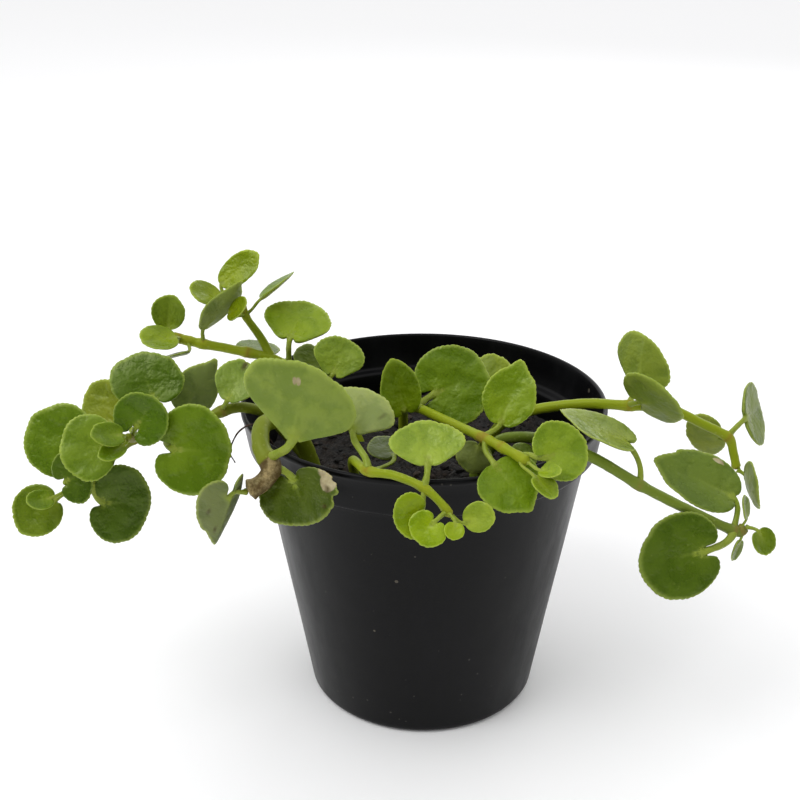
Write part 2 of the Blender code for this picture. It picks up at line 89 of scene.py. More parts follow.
def newPiece(name, verts, faces, materials, nodes, faceSlots=None, smooth=True):
    mesh = bpy.data.meshes.new(name)
    mesh.from_pydata([tuple(v) for v in verts], [], faces)
    piece = bpy.data.objects.new(name, mesh)
    bpy.context.scene.collection.objects.link(piece)
    for m in materials:
        mesh.materials.append(m)
    if faceSlots is not None:
        mesh.polygons.foreach_set("material_index", faceSlots)
    mesh.polygons.foreach_set("use_smooth", [smooth] * len(mesh.polygons))
    mesh.update()
    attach(piece, "root")
    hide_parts(*nodes)
    return piece


def finishedMesh(piece):  # its mesh once its modifiers are applied
    bpy.context.view_layer.update()
    return bpy.data.meshes.new_from_object(piece.evaluated_get(bpy.context.evaluated_depsgraph_get()))


def paint(piece, name, colours):  # one colour per vertex, read back by the materials
    layer = piece.data.color_attributes.new(name, "FLOAT_COLOR", "POINT")
    layer.data.foreach_set("color", np.asarray(colours, np.float32).ravel())


# Shader helpers
def nodeIn(tree, kind, **values):
    made = tree.nodes.new(kind)
    for key, value in values.items():
        if key.startswith("in_"):
            made.inputs[key[3:]].default_value = value
        else:
            setattr(made, key, value)
    return made


def newGroup(name, inputs, outputs):
    group = bpy.data.node_groups.new(name, "ShaderNodeTree")
    for label, kind, value in inputs:
        socket = group.interface.new_socket(name=label, in_out="INPUT", socket_type=kind)
        if value is not None:
            socket.default_value = value
    for label, kind in outputs:
        group.interface.new_socket(name=label, in_out="OUTPUT", socket_type=kind)
    return group, group.nodes.new("NodeGroupInput"), group.nodes.new("NodeGroupOutput")


def mixColour(tree, share, a, b, blend="MIX"):
    made = nodeIn(tree, "ShaderNodeMix", data_type="RGBA", blend_type=blend)
    for socket, value in ((made.inputs[0], share), (made.inputs[6], a), (made.inputs[7], b)):
        if hasattr(value, "is_output"):
            tree.links.new(value, socket)
        else:
            socket.default_value = value
    return made.outputs[2]


def maths(tree, operation, a, b):
    made = nodeIn(tree, "ShaderNodeMath", operation=operation)
    for socket, value in ((made.inputs[0], a), (made.inputs[1], b)):
        if hasattr(value, "is_output"):
            tree.links.new(value, socket)
        else:
            socket.default_value = value
    return made.outputs[0]


def times(tree, a, b):
    return maths(tree, "MULTIPLY", a, b)


def plus(tree, a, b):
    return maths(tree, "ADD", a, b)


def rampBetween(tree, value, low, high, outLow=0.0, outHigh=1.0):
    made = nodeIn(tree, "ShaderNodeMapRange", interpolation_type="SMOOTHSTEP")
    tree.links.new(value, made.inputs[0])
    for k, v in enumerate((low, high, outLow, outHigh)):
        made.inputs[k + 1].default_value = v
    return made.outputs[0]


def buildSpeckGroup():  # small irregular flecks, such as dust on the pot or pale pores on a leaf
    asked = [("Scale", "NodeSocketFloat", 400.0), ("Size", "NodeSocketFloat", 0.2),
             ("Share", "NodeSocketFloat", 0.3)]
    group, given, out = newGroup("flecks", asked, [("Mask", "NodeSocketFloat")])
    where = nodeIn(group, "ShaderNodeTexCoord")
    cells = nodeIn(group, "ShaderNodeTexVoronoi", feature="F1")
    group.links.new(where.outputs["Object"], cells.inputs["Vector"])
    group.links.new(given.outputs["Scale"], cells.inputs["Scale"])
    parts = nodeIn(group, "ShaderNodeSeparateColor")
    group.links.new(cells.outputs["Color"], parts.inputs[0])
    chosen = maths(group, "LESS_THAN", parts.outputs[0], given.outputs["Share"])
    reach = maths(group, "MULTIPLY", parts.outputs[1], given.outputs["Size"])
    inside = maths(group, "LESS_THAN", cells.outputs["Distance"], reach)
    group.links.new(maths(group, "MULTIPLY", chosen, inside), out.inputs["Mask"])
    return group


def buildMottleGroup():  # soft patches and fine grain, shared by leaf, stem, soil and pot
    asked = [("Patch Scale", "NodeSocketFloat", 60.0), ("Grain Scale", "NodeSocketFloat", 900.0),
             ("Grain Share", "NodeSocketFloat", 0.35)]
    answers = [("Patches", "NodeSocketFloat"), ("Grain", "NodeSocketFloat")]
    group, given, out = newGroup("mottle", asked, answers)
    where = nodeIn(group, "ShaderNodeTexCoord")
    big = nodeIn(group, "ShaderNodeTexNoise", in_Detail=3.0, in_Roughness=0.5)
    fine = nodeIn(group, "ShaderNodeTexNoise", in_Detail=2.0, in_Roughness=0.6)
    for made, label in ((big, "Patch Scale"), (fine, "Grain Scale")):
        group.links.new(where.outputs["Object"], made.inputs["Vector"])
        group.links.new(given.outputs[label], made.inputs["Scale"])
    patches = rampBetween(group, big.outputs["Fac"], 0.3, 0.7)
    grain = nodeIn(group, "ShaderNodeMix", data_type="FLOAT")
    group.links.new(given.outputs["Grain Share"], grain.inputs[0])
    group.links.new(patches, grain.inputs[2])
    group.links.new(fine.outputs["Fac"], grain.inputs[3])
    group.links.new(patches, out.inputs["Patches"])
    group.links.new(grain.outputs[0], out.inputs["Grain"])
    return group


fleckGroup = buildSpeckGroup()
mottleGroup = buildMottleGroup()


def startMaterial(name):
    made = bpy.data.materials.new(name)
    made.use_nodes = True
    return made, made.node_tree, made.node_tree.nodes["Principled BSDF"]


def setInputs(made, **values):
    for key, value in values.items():
        made.inputs[key.replace("_", " ")].default_value = value


def useGroup(tree, group, **values):
    made = tree.nodes.new("ShaderNodeGroup")
    made.node_tree = group
    setInputs(made, **values)
    return made


def dress(tree, shader, colour, roughness):
    tree.links.new(colour, shader.inputs["Base Color"])
    tree.links.new(roughness, shader.inputs["Roughness"])


def bumpFrom(tree, shader, height, strength, distance):
    made = nodeIn(tree, "ShaderNodeBump", in_Strength=strength, in_Distance=distance)
    tree.links.new(height, made.inputs["Height"])
    tree.links.new(made.outputs["Normal"], shader.inputs["Normal"])


def readPaint(tree, name):
    made = nodeIn(tree, "ShaderNodeAttribute", attribute_name=name)
    parts = nodeIn(tree, "ShaderNodeSeparateColor")
    tree.links.new(made.outputs["Color"], parts.inputs[0])
    return parts.outputs[0], parts.outputs[1], parts.outputs[2], made.outputs["Alpha"]


stemPaths = {
    "left_trailing": ("left_trailing_stem", 1.4, 1.0, [
        (-22, -9, 57), (-30, -10, 69), (-37, -12, 79), (-42, -15, 82.5), (-47, -17, 82.5), (-53, -19, 80),
        (-60, -20, 78), (-67, -22, 77.5), (-73, -24, 73), (-78, -25, 69), (-83, -27, 66)]),
    "left_side_shoot": ("left_trailing_stem", 1.0, 0.7, [
        (-67, -22, 77.5), (-67, -26, 79.5), (-66.5, -30.5, 82)]),
    "left_upper": ("left_upper_stem", 1.4, 1.1, [
        (-14, 6, 57), (-19, 7, 69), (-25, 7.5, 77.5), (-33, 10, 82), (-39, 11.5, 84.5), (-46, 12, 86),
        (-56, 12, 88), (-60.5, 12, 89), (-64, 12, 90)]),
    "left_upright": ("left_upper_stem", 1.2, 0.8, [
        (-38.5, 11.5, 84.2), (-41.5, 14, 89), (-45, 15, 94), (-46, 15, 97.5)]),
    "hanging": ("hanging_stem", 1.9, 2.1, [
        (-24, -17, 57), (-27, -19, 72), (-31, -22, 82), (-36, -27.5, 84), (-36, -34, 81.5),
        (-33.5, -37.5, 78), (-35.5, -39, 75), (-38.5, -40, 73.5)]),
    "front": ("front_stem", 1.1, 0.85, [
        (-14, -27, 57), (-15, -32, 71), (-15.5, -37.5, 80), (-12, -43.5, 80.6), (-6, -45.5, 80.5),
        (0, -48, 79), (3.5, -49.5, 76.5), (6, -50.5, 73.5)]),
    "middle": ("middle_stem", 1.2, 1.0, [
        (-4, 2, 57), (-5, -4, 73), (-3.5, -10, 81), (5.5, -22, 82.6), (14, -35, 84.2), (19, -41.5, 84.3),
        (22.5, -45.5, 83.9)]),
    "right_upper": ("right_upper_stem", 1.4, 1.0, [
        (12, -1, 57), (16, -2.5, 68), (20, -4, 74.5), (27, -7, 79), (38.5, -10, 82), (48.5, -12, 82.5),
        (57.5, -12, 82), (66, -12, 78), (72.5, -12, 74.5), (74, -13, 71), (75, -14, 67)]),
    "right_lower": ("right_lower_stem", 1.4, 1.1, [
        (10, -12, 57), (14, -14, 68), (18, -17, 75.5), (25.5, -25, 80), (32, -32.5, 81.5), (39, -34.5, 79),
        (48, -35, 73.5), (58, -35, 68), (70.5, -34, 61.5), (73, -34, 62.5)]),
}
# name: path, place along it, blade base, tip, upper side faces, width, lobes, cup, fold, curl
leafPlan = {
    "left_leaf_1": ("left_trailing", 9.0, (-80, -22, 72), (-92, -18, 81.5),
        (-0.1, -0.9, 0.4), 18.5, 0.12, 0.06, 0.02, 0.05),
    "left_leaf_2": ("left_trailing", 7.0, (-71.5, -15, 80), (-81.5, -10, 84),
        (0.1, -0.95, 0.25), 13, 0.1, 0.05, 0, 0.05),
    "left_leaf_3": ("left_side_shoot", 1.3, (-70.5, -31.5, 80), (-81.5, -34, 80.5),
        (-0.1, -0.85, 0.5), 15.5, 0.18, 0.08, 0, 0.05),
    "left_leaf_4": ("left_side_shoot", 1.0, (-65, -27.6, 83.2), (-60.2, -26.2, 90),
        (0.1, -0.9, 0.4), 13.3, 0.45, 0.08, 0.05, 0),
    "left_leaf_5": ("left_trailing", 6.0, (-62.5, -18, 85), (-67.5, -12.5, 95.5),
        (0.1, -0.9, 0.4), 17.5, 0.12, 0.05, 0.03, 0.08),
    "left_leaf_6": ("left_trailing", 9.5, (-82.2, -29.6, 70), (-76.3, -28.6, 72.8),
        (0.2, -0.9, 0.4), 13, 0.34, 0.08, 0.08, 0),
    "left_leaf_7": ("left_trailing", 10.0, (-85, -29, 65), (-95, -30.5, 59),
        (-0.2, -0.9, 0.35), 12.5, 0.12, 0.08, 0.04, 0),
    "left_leaf_8": ("left_trailing", 9.0, (-75.5, -25.5, 62.7), (-64.3, -22.5, 60),
        (0.15, -0.95, 0.25), 19.4, 0.27, 0.06, 0.04, 0),
    "left_leaf_9": ("left_trailing", 6.0, (-57.5, -27, 77.5), (-43, -28.5, 77),
        (0.1, -0.95, 0.3), 21.5, 0.34, 0.06, 0.02, 0),
    "left_leaf_10": ("left_trailing", 4.0, (-45.5, -19, 86), (-41, -13, 94),
        (-0.1, -0.8, 0.55), 11.5, 0.06, 0.1, 0.05, 0.1),
    "left_leaf_11": ("left_trailing", 5.0, (-58, -10, 79), (-50.5, -6, 90),
        (-0.2, 0.9, -0.15), 11, 0.05, 0.06, 0.1, 0),
    "high_leaf_1": ("left_upper", 7.9, (-65, 14, 91), (-64.5, 16, 100),
        (0.1, -0.95, 0.25), 8.7, 0.02, 0.08, 0.25, 0),
    "high_leaf_2": ("left_upper", 7.4, (-62, 8.5, 91), (-70, 3, 92),
        (-0.1, -0.5, 0.87), 9.5, 0.05, 0.1, 0.15, 0),
    "high_leaf_3": ("left_upper", 6.0, (-55.5, 11, 92.5), (-45, 8, 105.5),
        (-0.6, 0.65, 0.5), 10, 0.05, 0.05, 0.12, 0),
    "high_leaf_4": ("left_upright", 3.0, (-51.5, 17, 102), (-41.5, 19, 110),
        (-0.3, -0.85, 0.4), 7.8, 0.02, 0.06, 0.08, 0),
    "high_leaf_5": ("left_upright", 2.6, (-51, 14.5, 99.5), (-58.5, 10.5, 103),
        (0.1, -0.5, 0.85), 8, 0.02, 0.05, 0.1, 0),
    "high_leaf_6": ("left_upright", 2.3, (-41, 14, 99.5), (-33.5, 19, 104.5),
        (-0.5, 0.05, 0.85), 8, 0.02, 0.05, 0.2, 0),
    "high_leaf_7": ("left_upright", 2.2, (-48.5, 8.5, 97.5), (-43, 3, 102),
        (-0.3, -0.6, 0.7), 6.5, 0.02, 0.06, 0.1, 0),
    "high_leaf_8": ("left_upper", 4.8, (-46, 18, 83.5), (-40, 27, 83),
        (0.1, 0, 1.0), 12, 0.1, 0.05, 0, 0.05),
    "high_leaf_9": ("left_upper", 6.8, (-59, 7.5, 87.5), (-65.5, 3, 87.5),
        (0.1, 0.5, 0.85), 7, 0.05, 0.05, 0.1, 0),
    "high_leaf_10": ("left_upper", 3.2, (-33.5, 8.5, 91), (-30, 18.5, 98),
        (0, -0.5, 0.86), 18.5, 0.12, 0.08, 0.05, 0.1),
    "high_leaf_11": ("left_upper", 2.4, (-22.5, 2, 84), (-19.5, 8, 92),
        (0.15, -0.7, 0.7), 13.5, 0.12, 0.08, 0.05, 0.05),
    "high_leaf_12": ("left_upper", 2.6, (-28, 13, 80.5), (-31.5, 20, 85),
        (0.1, -0.6, 0.8), 8, 0.1, 0.06, 0, 0),
    "hanging_leaf_1": ("hanging", 4.6, (-28, -42, 87), (-25, -38.5, 104),
        (0, 0.98, -0.15), 26, 0.02, 0.04, 0.02, 0.12),
    "hanging_leaf_2": ("hanging", 5.0, (-28.6, -38.6, 76), (-24.2, -45.1, 67.8),
        (-0.53, -0.75, 0.4), 22, 0.22, 0.05, 0.04, 0),
    "hanging_leaf_3": ("hanging", 7.0, (-42, -43.5, 74.3), (-46.5, -39.5, 60.5),
        (-0.55, 0.72, 0), 11, 0.36, 0.03, 0.7, 0),
    "front_leaf_1": ("front", 3.0, (-15.5, -37, 87), (-11.5, -29.5, 93.5),
        (0, 0.75, -0.6), 16, 0.08, 0.06, 0.02, 0.1),
    "front_leaf_2": ("front", 3.1, (-6.5, -30, 77.5), (-11, -20, 77.5),
        (0, -0.4, 0.92), 8.5, 0.1, 0.08, 0, 0),
    "front_leaf_3": ("front", 5.0, (1, -45.5, 83), (0.5, -38.5, 90.5),
        (0, -0.78, 0.62), 17, 0.05, 0.07, 0.06, 0.05),
    "front_leaf_4": ("front", 5.1, (-0.6, -51, 74.4), (-6.4, -52.5, 73.6),
        (0, -0.95, 0.3), 10.5, 0.35, 0.06, 0.1, 0),
    "front_leaf_5": ("front", 6.6, (2.5, -53.5, 73.8), (-1.5, -55.5, 70.2),
        (-0.15, -0.85, 0.5), 9, 0.25, 0.1, 0.04, 0.1),
    "front_leaf_6": ("front", 7.0, (8.8, -51.4, 72.3), (15.2, -50.4, 75.2),
        (-0.1, -0.9, 0.4), 6.8, 0.02, 0.08, 0.05, 0),
    "middle_leaf_1": ("middle", 2.1, (-4.5, -15.5, 82), (-7.5, -15.5, 95.5),
        (0.25, -0.9, 0.3), 10, 0.12, 0.05, 0.25, 0),
    "middle_leaf_2": ("middle", 2.2, (2.5, -9.5, 84), (15.5, -7, 89.5),
        (-0.1, -0.9, 0.45), 20, 0.35, 0.05, 0.02, 0.08),
    "middle_leaf_3": ("middle", 3.9, (17, -31.5, 86.3), (21.5, -26, 98.5),
        (-0.15, -0.9, 0.4), 12.5, 0.06, 0.08, 0.08, 0.05),
    "middle_leaf_4": ("middle", 4.0, (15.2, -42.1, 81.9), (22.5, -49.1, 75.1),
        (0.3, -0.8, 0.55), 15.2, 0.04, 0.08, 0.05, 0.08),
    "middle_leaf_5": ("middle", 5.5, (26, -46.5, 85.5), (34, -44, 89),
        (-0.1, -0.88, 0.45), 13.7, 0.3, 0.1, 0.05, 0),
    "middle_leaf_6": ("middle", 3.8, (13, -25, 78), (10, -28, 72.5),
        (0.25, 0.9, 0.1), 9, 0.1, 0.05, 0.1, 0),
    "middle_leaf_7": ("middle", 4.6, (20, -29, 78.3), (26, -28, 76.3),
        (0, -0.5, 0.87), 6.5, 0.05, 0.05, 0.05, 0),
    "right_leaf_1": ("right_upper", 2.2, (17, 2, 78.5), (16, 8, 87.5),
        (0.1, 0.9, -0.35), 12, 0.05, 0.05, 0.02, 0),
    "right_leaf_2": ("right_upper", 5.0, (50.5, -15.5, 85), (56, -25.5, 90.5),
        (0.6, 0.6, 0.5), 17, 0.25, 0.04, 0.1, 0),
    "right_leaf_3": ("right_upper", 5.0, (51.3, -8, 86), (52.3, -3, 97.5),
        (0.4, 0.8, -0.5), 14, 0.1, 0.04, 0.4, 0),
    "right_leaf_4": ("right_upper", 8.0, (71.5, -7.5, 73), (64.3, -4, 71),
        (0.1, 0.9, 0.2), 13.2, 0.2, 0.06, 0.02, 0),
    "right_leaf_5": ("right_upper", 8.0, (77, -9, 78), (83, 0, 77),
        (0.75, -0.55, 0.35), 16, 0.1, 0.05, 0.12, 0),
    "right_leaf_6": ("right_upper", 10.0, (77, -15.5, 66), (78, -25, 65),
        (0.9, 0.3, 0.25), 13, 0.05, 0.06, 0.1, 0),
    "low_leaf_1": ("right_lower", 6.0, (45, -32.5, 82.5), (30.5, -29, 87.5),
        (0.15, -0.1, 1.0), 12.5, 0.2, 0.05, 0.15, -0.06),
    "low_leaf_2": ("right_lower", 8.0, (71, -30, 67.5), (54, -24.5, 75),
        (-0.15, -0.5, 0.85), 14.5, 0.08, 0.05, 0.12, 0.05),
    "low_leaf_3": ("right_lower", 8.0, (62.9, -40, 59.4), (48, -41.5, 56.8),
        (-0.1, -0.92, 0.35), 20, 0.3, 0.04, 0.02, 0.1),
    "low_leaf_4": ("right_lower", 9.0, (75.3, -36.5, 62.8), (78.2, -38.5, 58),
        (0.4, -0.8, 0.4), 6.5, 0.1, 0.08, 0.1, 0),
}
# young leaves at the growing tips are one piece with their stem
youngPlan = {
    "left_trailing_stem": [
        ("left_side_shoot", 1.7, (-67, -33, 83.5), (-73, -37.5, 86),
         (-0.1, -0.75, 0.65), 6, 0.1, 0.1, 0.1, 0),
        ("left_side_shoot", 1.6, (-67, -33, 81), (-71.5, -38, 80), (0.1, -0.6, 0.8), 5, 0.1, 0.1, 0.2, 0),
        ("left_trailing", 9.7, (-85, -32, 67), (-89.5, -36.5, 68),
         (-0.1, -0.7, 0.7), 5.5, 0.1, 0.1, 0.1, 0)],
    "front_stem": [
        ("front", 6.7, (6.8, -54, 73.8), (6.3, -56.8, 71.2), (0.1, -0.8, 0.6), 4.5, 0.1, 0.1, 0.1, 0)],
    "middle_stem": [
        ("middle", 5.5, (23.5, -49, 82.3), (27.5, -53, 79), (0.6, -0.6, 0.5), 6, 0.05, 0.1, 0.3, 0),
        ("middle", 5.8, (24.5, -49.5, 84), (28.5, -53.5, 85.5), (0, -0.5, 0.85), 4, 0.05, 0.1, 0.2, 0)],
    "right_lower_stem": [
        ("right_lower", 8.7, (73, -34.5, 65), (71.5, -35, 71), (0.8, -0.5, 0.2), 4, 0.05, 0.1, 0.2, 0),
        ("right_lower", 8.5, (72, -35, 59.5), (70.5, -36, 54.5), (0.7, -0.6, 0.1), 4.5, 0.05, 0.1, 0.1, 0)],
}
# outline of the blades that aren't plain round: sheared, pointed, broader towards the base
outlines = {
    "left_leaf_5": (-0.15, 0, 0), "left_leaf_11": (0, 0.12, 0.15), "high_leaf_3": (0, 0.06, 0.1),
    "high_leaf_6": (0, 0.1, 0.1), "high_leaf_10": (0, 0.03, 0.06), "hanging_leaf_1": (0.2, 0, -0.08),
    "hanging_leaf_2": (-0.2, 0, 0), "hanging_leaf_3": (0, 0.12, 0.15), "middle_leaf_1": (0, 0.03, 0.06),
    "middle_leaf_3": (0, 0.1, 0.14), "middle_leaf_4": (0, 0.1, 0.08), "right_leaf_2": (0, 0, 0.1),
    "right_leaf_3": (0.45, 0, 0.1), "right_leaf_5": (0, 0, 0.1), "low_leaf_1": (0, 0.08, 0.1),
    "low_leaf_2": (0, 0.06, 0.1), "low_leaf_3": (-0.1, 0, 0), "front_leaf_3": (0, 0.02, 0.05),
}

# Colour of each blade's upper side and underside, where it isn't the usual one. Each is the colour the blade
# shows where it sits, so the darker tints of shaded blades, such as front_leaf_2 and the underside of
# left_leaf_11, are painted shade
usualTint = dict(upper=(92, 120, 8), under=(116, 132, 62), young=(92, 118, 10))
upperTintAndShade = {
    "left_leaf_1": (84, 112, 6), "left_leaf_2": (114, 128, 30), "left_leaf_3": (98, 124, 26),
    "left_leaf_4": (70, 100, 5), "left_leaf_5": (66, 94, 4), "left_leaf_6": (62, 88, 6),
    "left_leaf_7": (86, 108, 8), "left_leaf_8": (60, 86, 4), "left_leaf_9": (86, 114, 6),
    "left_leaf_10": (100, 124, 40), "high_leaf_1": (100, 122, 24), "high_leaf_2": (112, 134, 8),
    "high_leaf_4": (120, 140, 8), "high_leaf_5": (116, 134, 18), "high_leaf_7": (110, 128, 8),
    "high_leaf_8": (84, 106, 30), "high_leaf_9": (88, 104, 34), "high_leaf_10": (114, 138, 22),
    "high_leaf_11": (106, 130, 30), "high_leaf_12": (90, 110, 40), "hanging_leaf_2": (58, 76, 4),
    "hanging_leaf_3": (60, 78, 20), "front_leaf_2": (58, 74, 18), "front_leaf_3": (126, 150, 48),
    "front_leaf_4": (116, 140, 6), "front_leaf_5": (120, 146, 8), "front_leaf_6": (130, 152, 44),
    "middle_leaf_1": (104, 130, 8), "middle_leaf_2": (88, 116, 6), "middle_leaf_3": (104, 130, 10),
    "middle_leaf_4": (96, 124, 8), "middle_leaf_5": (112, 138, 30), "middle_leaf_7": (90, 112, 30),
    "right_leaf_5": (100, 118, 46), "right_leaf_6": (96, 116, 40), "low_leaf_1": (116, 134, 58),
    "low_leaf_2": (84, 106, 30), "low_leaf_3": (66, 90, 8), "low_leaf_4": (96, 118, 20),
}
underTintAndShade = {
    "left_leaf_11": (96, 112, 58), "high_leaf_3": (130, 146, 74), "high_leaf_6": (126, 140, 48),
    "high_leaf_9": (104, 118, 60), "hanging_leaf_1": (114, 134, 56), "hanging_leaf_3": (94, 106, 60),
    "front_leaf_1": (134, 148, 88), "middle_leaf_3": (144, 160, 76), "middle_leaf_6": (98, 112, 52),
    "right_leaf_1": (116, 134, 30), "right_leaf_2": (110, 128, 46), "right_leaf_3": (112, 130, 40),
    "right_leaf_4": (120, 134, 50), "right_leaf_5": (110, 126, 50), "low_leaf_1": (104, 122, 60),
}
youngTint = {"left_trailing_stem": (92, 118, 10), "front_stem": (124, 148, 10), "middle_stem": (118, 142, 20),
             "right_lower_stem": (92, 112, 34)}


def leafMaterial():
    made, tree, shader = startMaterial("leaf_skin")
    edge, upper, stalk, vein = readPaint(tree, "leafMap")
    dry, spot, _, _ = readPaint(tree, "wear")
    tint = nodeIn(tree, "ShaderNodeAttribute", attribute_name="tint").outputs["Color"]
    mottle = useGroup(tree, mottleGroup, Patch_Scale=210.0, Grain_Scale=1500.0, Grain_Share=0.4)
    pores = useGroup(tree, fleckGroup, Scale=1000.0, Size=0.34, Share=0.3)
    patches, grain = mottle.outputs["Patches"], mottle.outputs["Grain"]
    deep = mixColour(tree, 1.0, tint, (0.72, 0.76, 0.55, 1), "MULTIPLY")
    light = mixColour(tree, 1.0, tint, (1.42, 1.28, 1.15, 1), "MULTIPLY")
    pale = mixColour(tree, 0.5, light, rgb(168, 182, 88))
    skin = mixColour(tree, rampBetween(tree, grain, 0.25, 0.75), deep, light)
    skin = mixColour(tree, 0.45, tint, skin)
    near = rampBetween(tree, edge, 0.0, 0.75, 0.75, 0.0)
    skin = mixColour(tree, times(tree, near, upper), skin, light)  # lighter near the stalk
    skin = mixColour(tree, rampBetween(tree, vein, 0.1, 1.0, 0.0, 0.3), skin, pale)
    skin = mixColour(tree, times(tree, pores.outputs["Mask"], 0.14), skin, pale)
    # paler margin: partly the margin's own lighter colour, partly a painted rim highlight
    skin = mixColour(tree, rampBetween(tree, edge, 0.9, 1.0, 0.0, 0.75), skin, pale)
    stalkSkinTone = mixColour(tree, grain, rgb(120, 138, 30), rgb(146, 158, 62))
    skin = mixColour(tree, times(tree, stalk, 0.85), skin, stalkSkinTone)
    ragged = rampBetween(tree, plus(tree, dry, times(tree, grain, 0.5)), 0.55, 0.8)
    skin = mixColour(tree, ragged, skin, mixColour(tree, grain, rgb(96, 78, 44), rgb(196, 186, 150)))
    skin = mixColour(tree, times(tree, spot, 0.85), skin, rgb(58, 42, 18))
    rough = rampBetween(tree, grain, 0.2, 0.8, 0.26, 0.4)
    rough = plus(tree, rough, rampBetween(tree, upper, 0.0, 1.0, 0.14, 0.0))
    dress(tree, shader, skin, maths(tree, "MAXIMUM", rough, ragged))
    setInputs(shader, Specular_IOR_Level=0.42, Specular_Tint=(0.92, 1.0, 0.5, 1), Subsurface_Weight=0.25,
              Subsurface_Radius=(0.9, 1.0, 0.15), Subsurface_Scale=0.0014)
    height = plus(tree, grain, times(tree, patches, 1.2))
    height = maths(tree, "SUBTRACT", height, times(tree, pores.outputs["Mask"], 0.35))
    bumpFrom(tree, shader, height, 0.6, 0.0003)
    return made


leafSkinMaterial = leafMaterial()


def stemMaterial(name, skinColour, warmColour, scarColour):
    made, tree, shader = startMaterial(name)
    scar, dead, warm, _ = readPaint(tree, "stemMap")
    mottle = useGroup(tree, mottleGroup, Patch_Scale=160.0, Grain_Scale=1700.0, Grain_Share=0.45)
    flecks = useGroup(tree, fleckGroup, Scale=1100.0, Size=0.4, Share=0.3)
    grain = mottle.outputs["Grain"]
    base = mixColour(tree, times(tree, grain, 0.35), skinColour, warmColour)
    base = mixColour(tree, warm, base, warmColour)
    base = mixColour(tree, times(tree, flecks.outputs["Mask"], 0.18), base, rgb(176, 178, 110))
    patchy = times(tree, times(tree, scar, 0.55), rampBetween(tree, grain, 0.3, 0.65))
    base = mixColour(tree, patchy, base, scarColour)
    bark = mixColour(tree, rampBetween(tree, grain, 0.3, 0.7), rgb(84, 66, 40), rgb(166, 148, 104))
    withered = rampBetween(tree, plus(tree, dead, times(tree, grain, 0.4)), 0.55, 0.85)
    base = mixColour(tree, withered, base, bark)
    dress(tree, shader, base, plus(tree, times(tree, scar, 0.35), 0.4))
    setInputs(shader, Specular_IOR_Level=0.3, Specular_Tint=(0.9, 1.0, 0.45, 1), Subsurface_Weight=0.2,
              Subsurface_Radius=(0.9, 0.9, 0.3), Subsurface_Scale=0.0014)
    bumpFrom(tree, shader, plus(tree, grain, times(tree, scar, 0.4)), 0.45, 0.0002)
    return made


stemPaint = {
    "green": stemMaterial("stem_green", rgb(132, 150, 18), rgb(150, 150, 40), rgb(132, 92, 40)),
    "grey": stemMaterial("stem_grey_green", rgb(98, 118, 28), rgb(122, 134, 62), rgb(138, 108, 62)),
    "old": stemMaterial("stem_old", rgb(104, 118, 20), rgb(128, 132, 44), rgb(128, 96, 56)),
}


# Leaves
def stemPlace(path, place):  # point, direction and radius at a place along a path
    _, r0, r1, points = stemPaths[path]
    fine = smoothed(points, 8)
    k = min(int(round(place * 8)), len(fine) - 1)
    before, after = fine[max(k - 1, 0)], fine[min(k + 1, len(fine) - 1)]
    return fine[k], unit(after - before), r0 + (r1 - r0) * k / (len(fine) - 1)


def turned(vector, before, after):  # carry a vector through the smallest turn
    return np.array(Vector(before).rotation_difference(Vector(after)) @ Vector(vector))


leafShape = dict(toothPitch=1.1, toothDepth=0.2, perTooth=4, shrink=0.968, waver=0.3, softenings=6,
                 stalkSteps=12, stalkSides=14,
                 bladeRings=(0.0, 0.08, 0.18, 0.3, 0.42, 0.54, 0.65, 0.75, 0.84, 0.91, 0.96, 0.99))
# how far a blade narrows into its stalk, as a share of its width there
wedges = {"hanging_leaf_1": 0.55, "high_leaf_10": 0.3, "high_leaf_11": 0.35, "front_leaf_3": 0.35,
          "front_leaf_1": 0.45, "middle_leaf_3": 0.2, "high_leaf_3": 0.3, "right_leaf_3": 0.2,
          "left_leaf_10": 0.3}


def wobble(points, size, seed):
    return np.array([noise.noise(Vector(q) * size + Vector((seed * 0.37, 0, seed * 0.11))) for q in points])


def leafFrame(row):
    path, place, base, tip, face = row[:5]
    base, tip = np.array(base, float), np.array(tip, float)
    m = unit(tip - base)
    n = unit(np.array(face) - np.dot(face, m) * m)
    return base, m, n, np.cross(n, m), np.linalg.norm(tip - base)


def stalkRadius(width):  # at the blade
    return 0.35 + 0.04 * width


def bladeThickness(width):
    return 0.5 + 0.036 * width


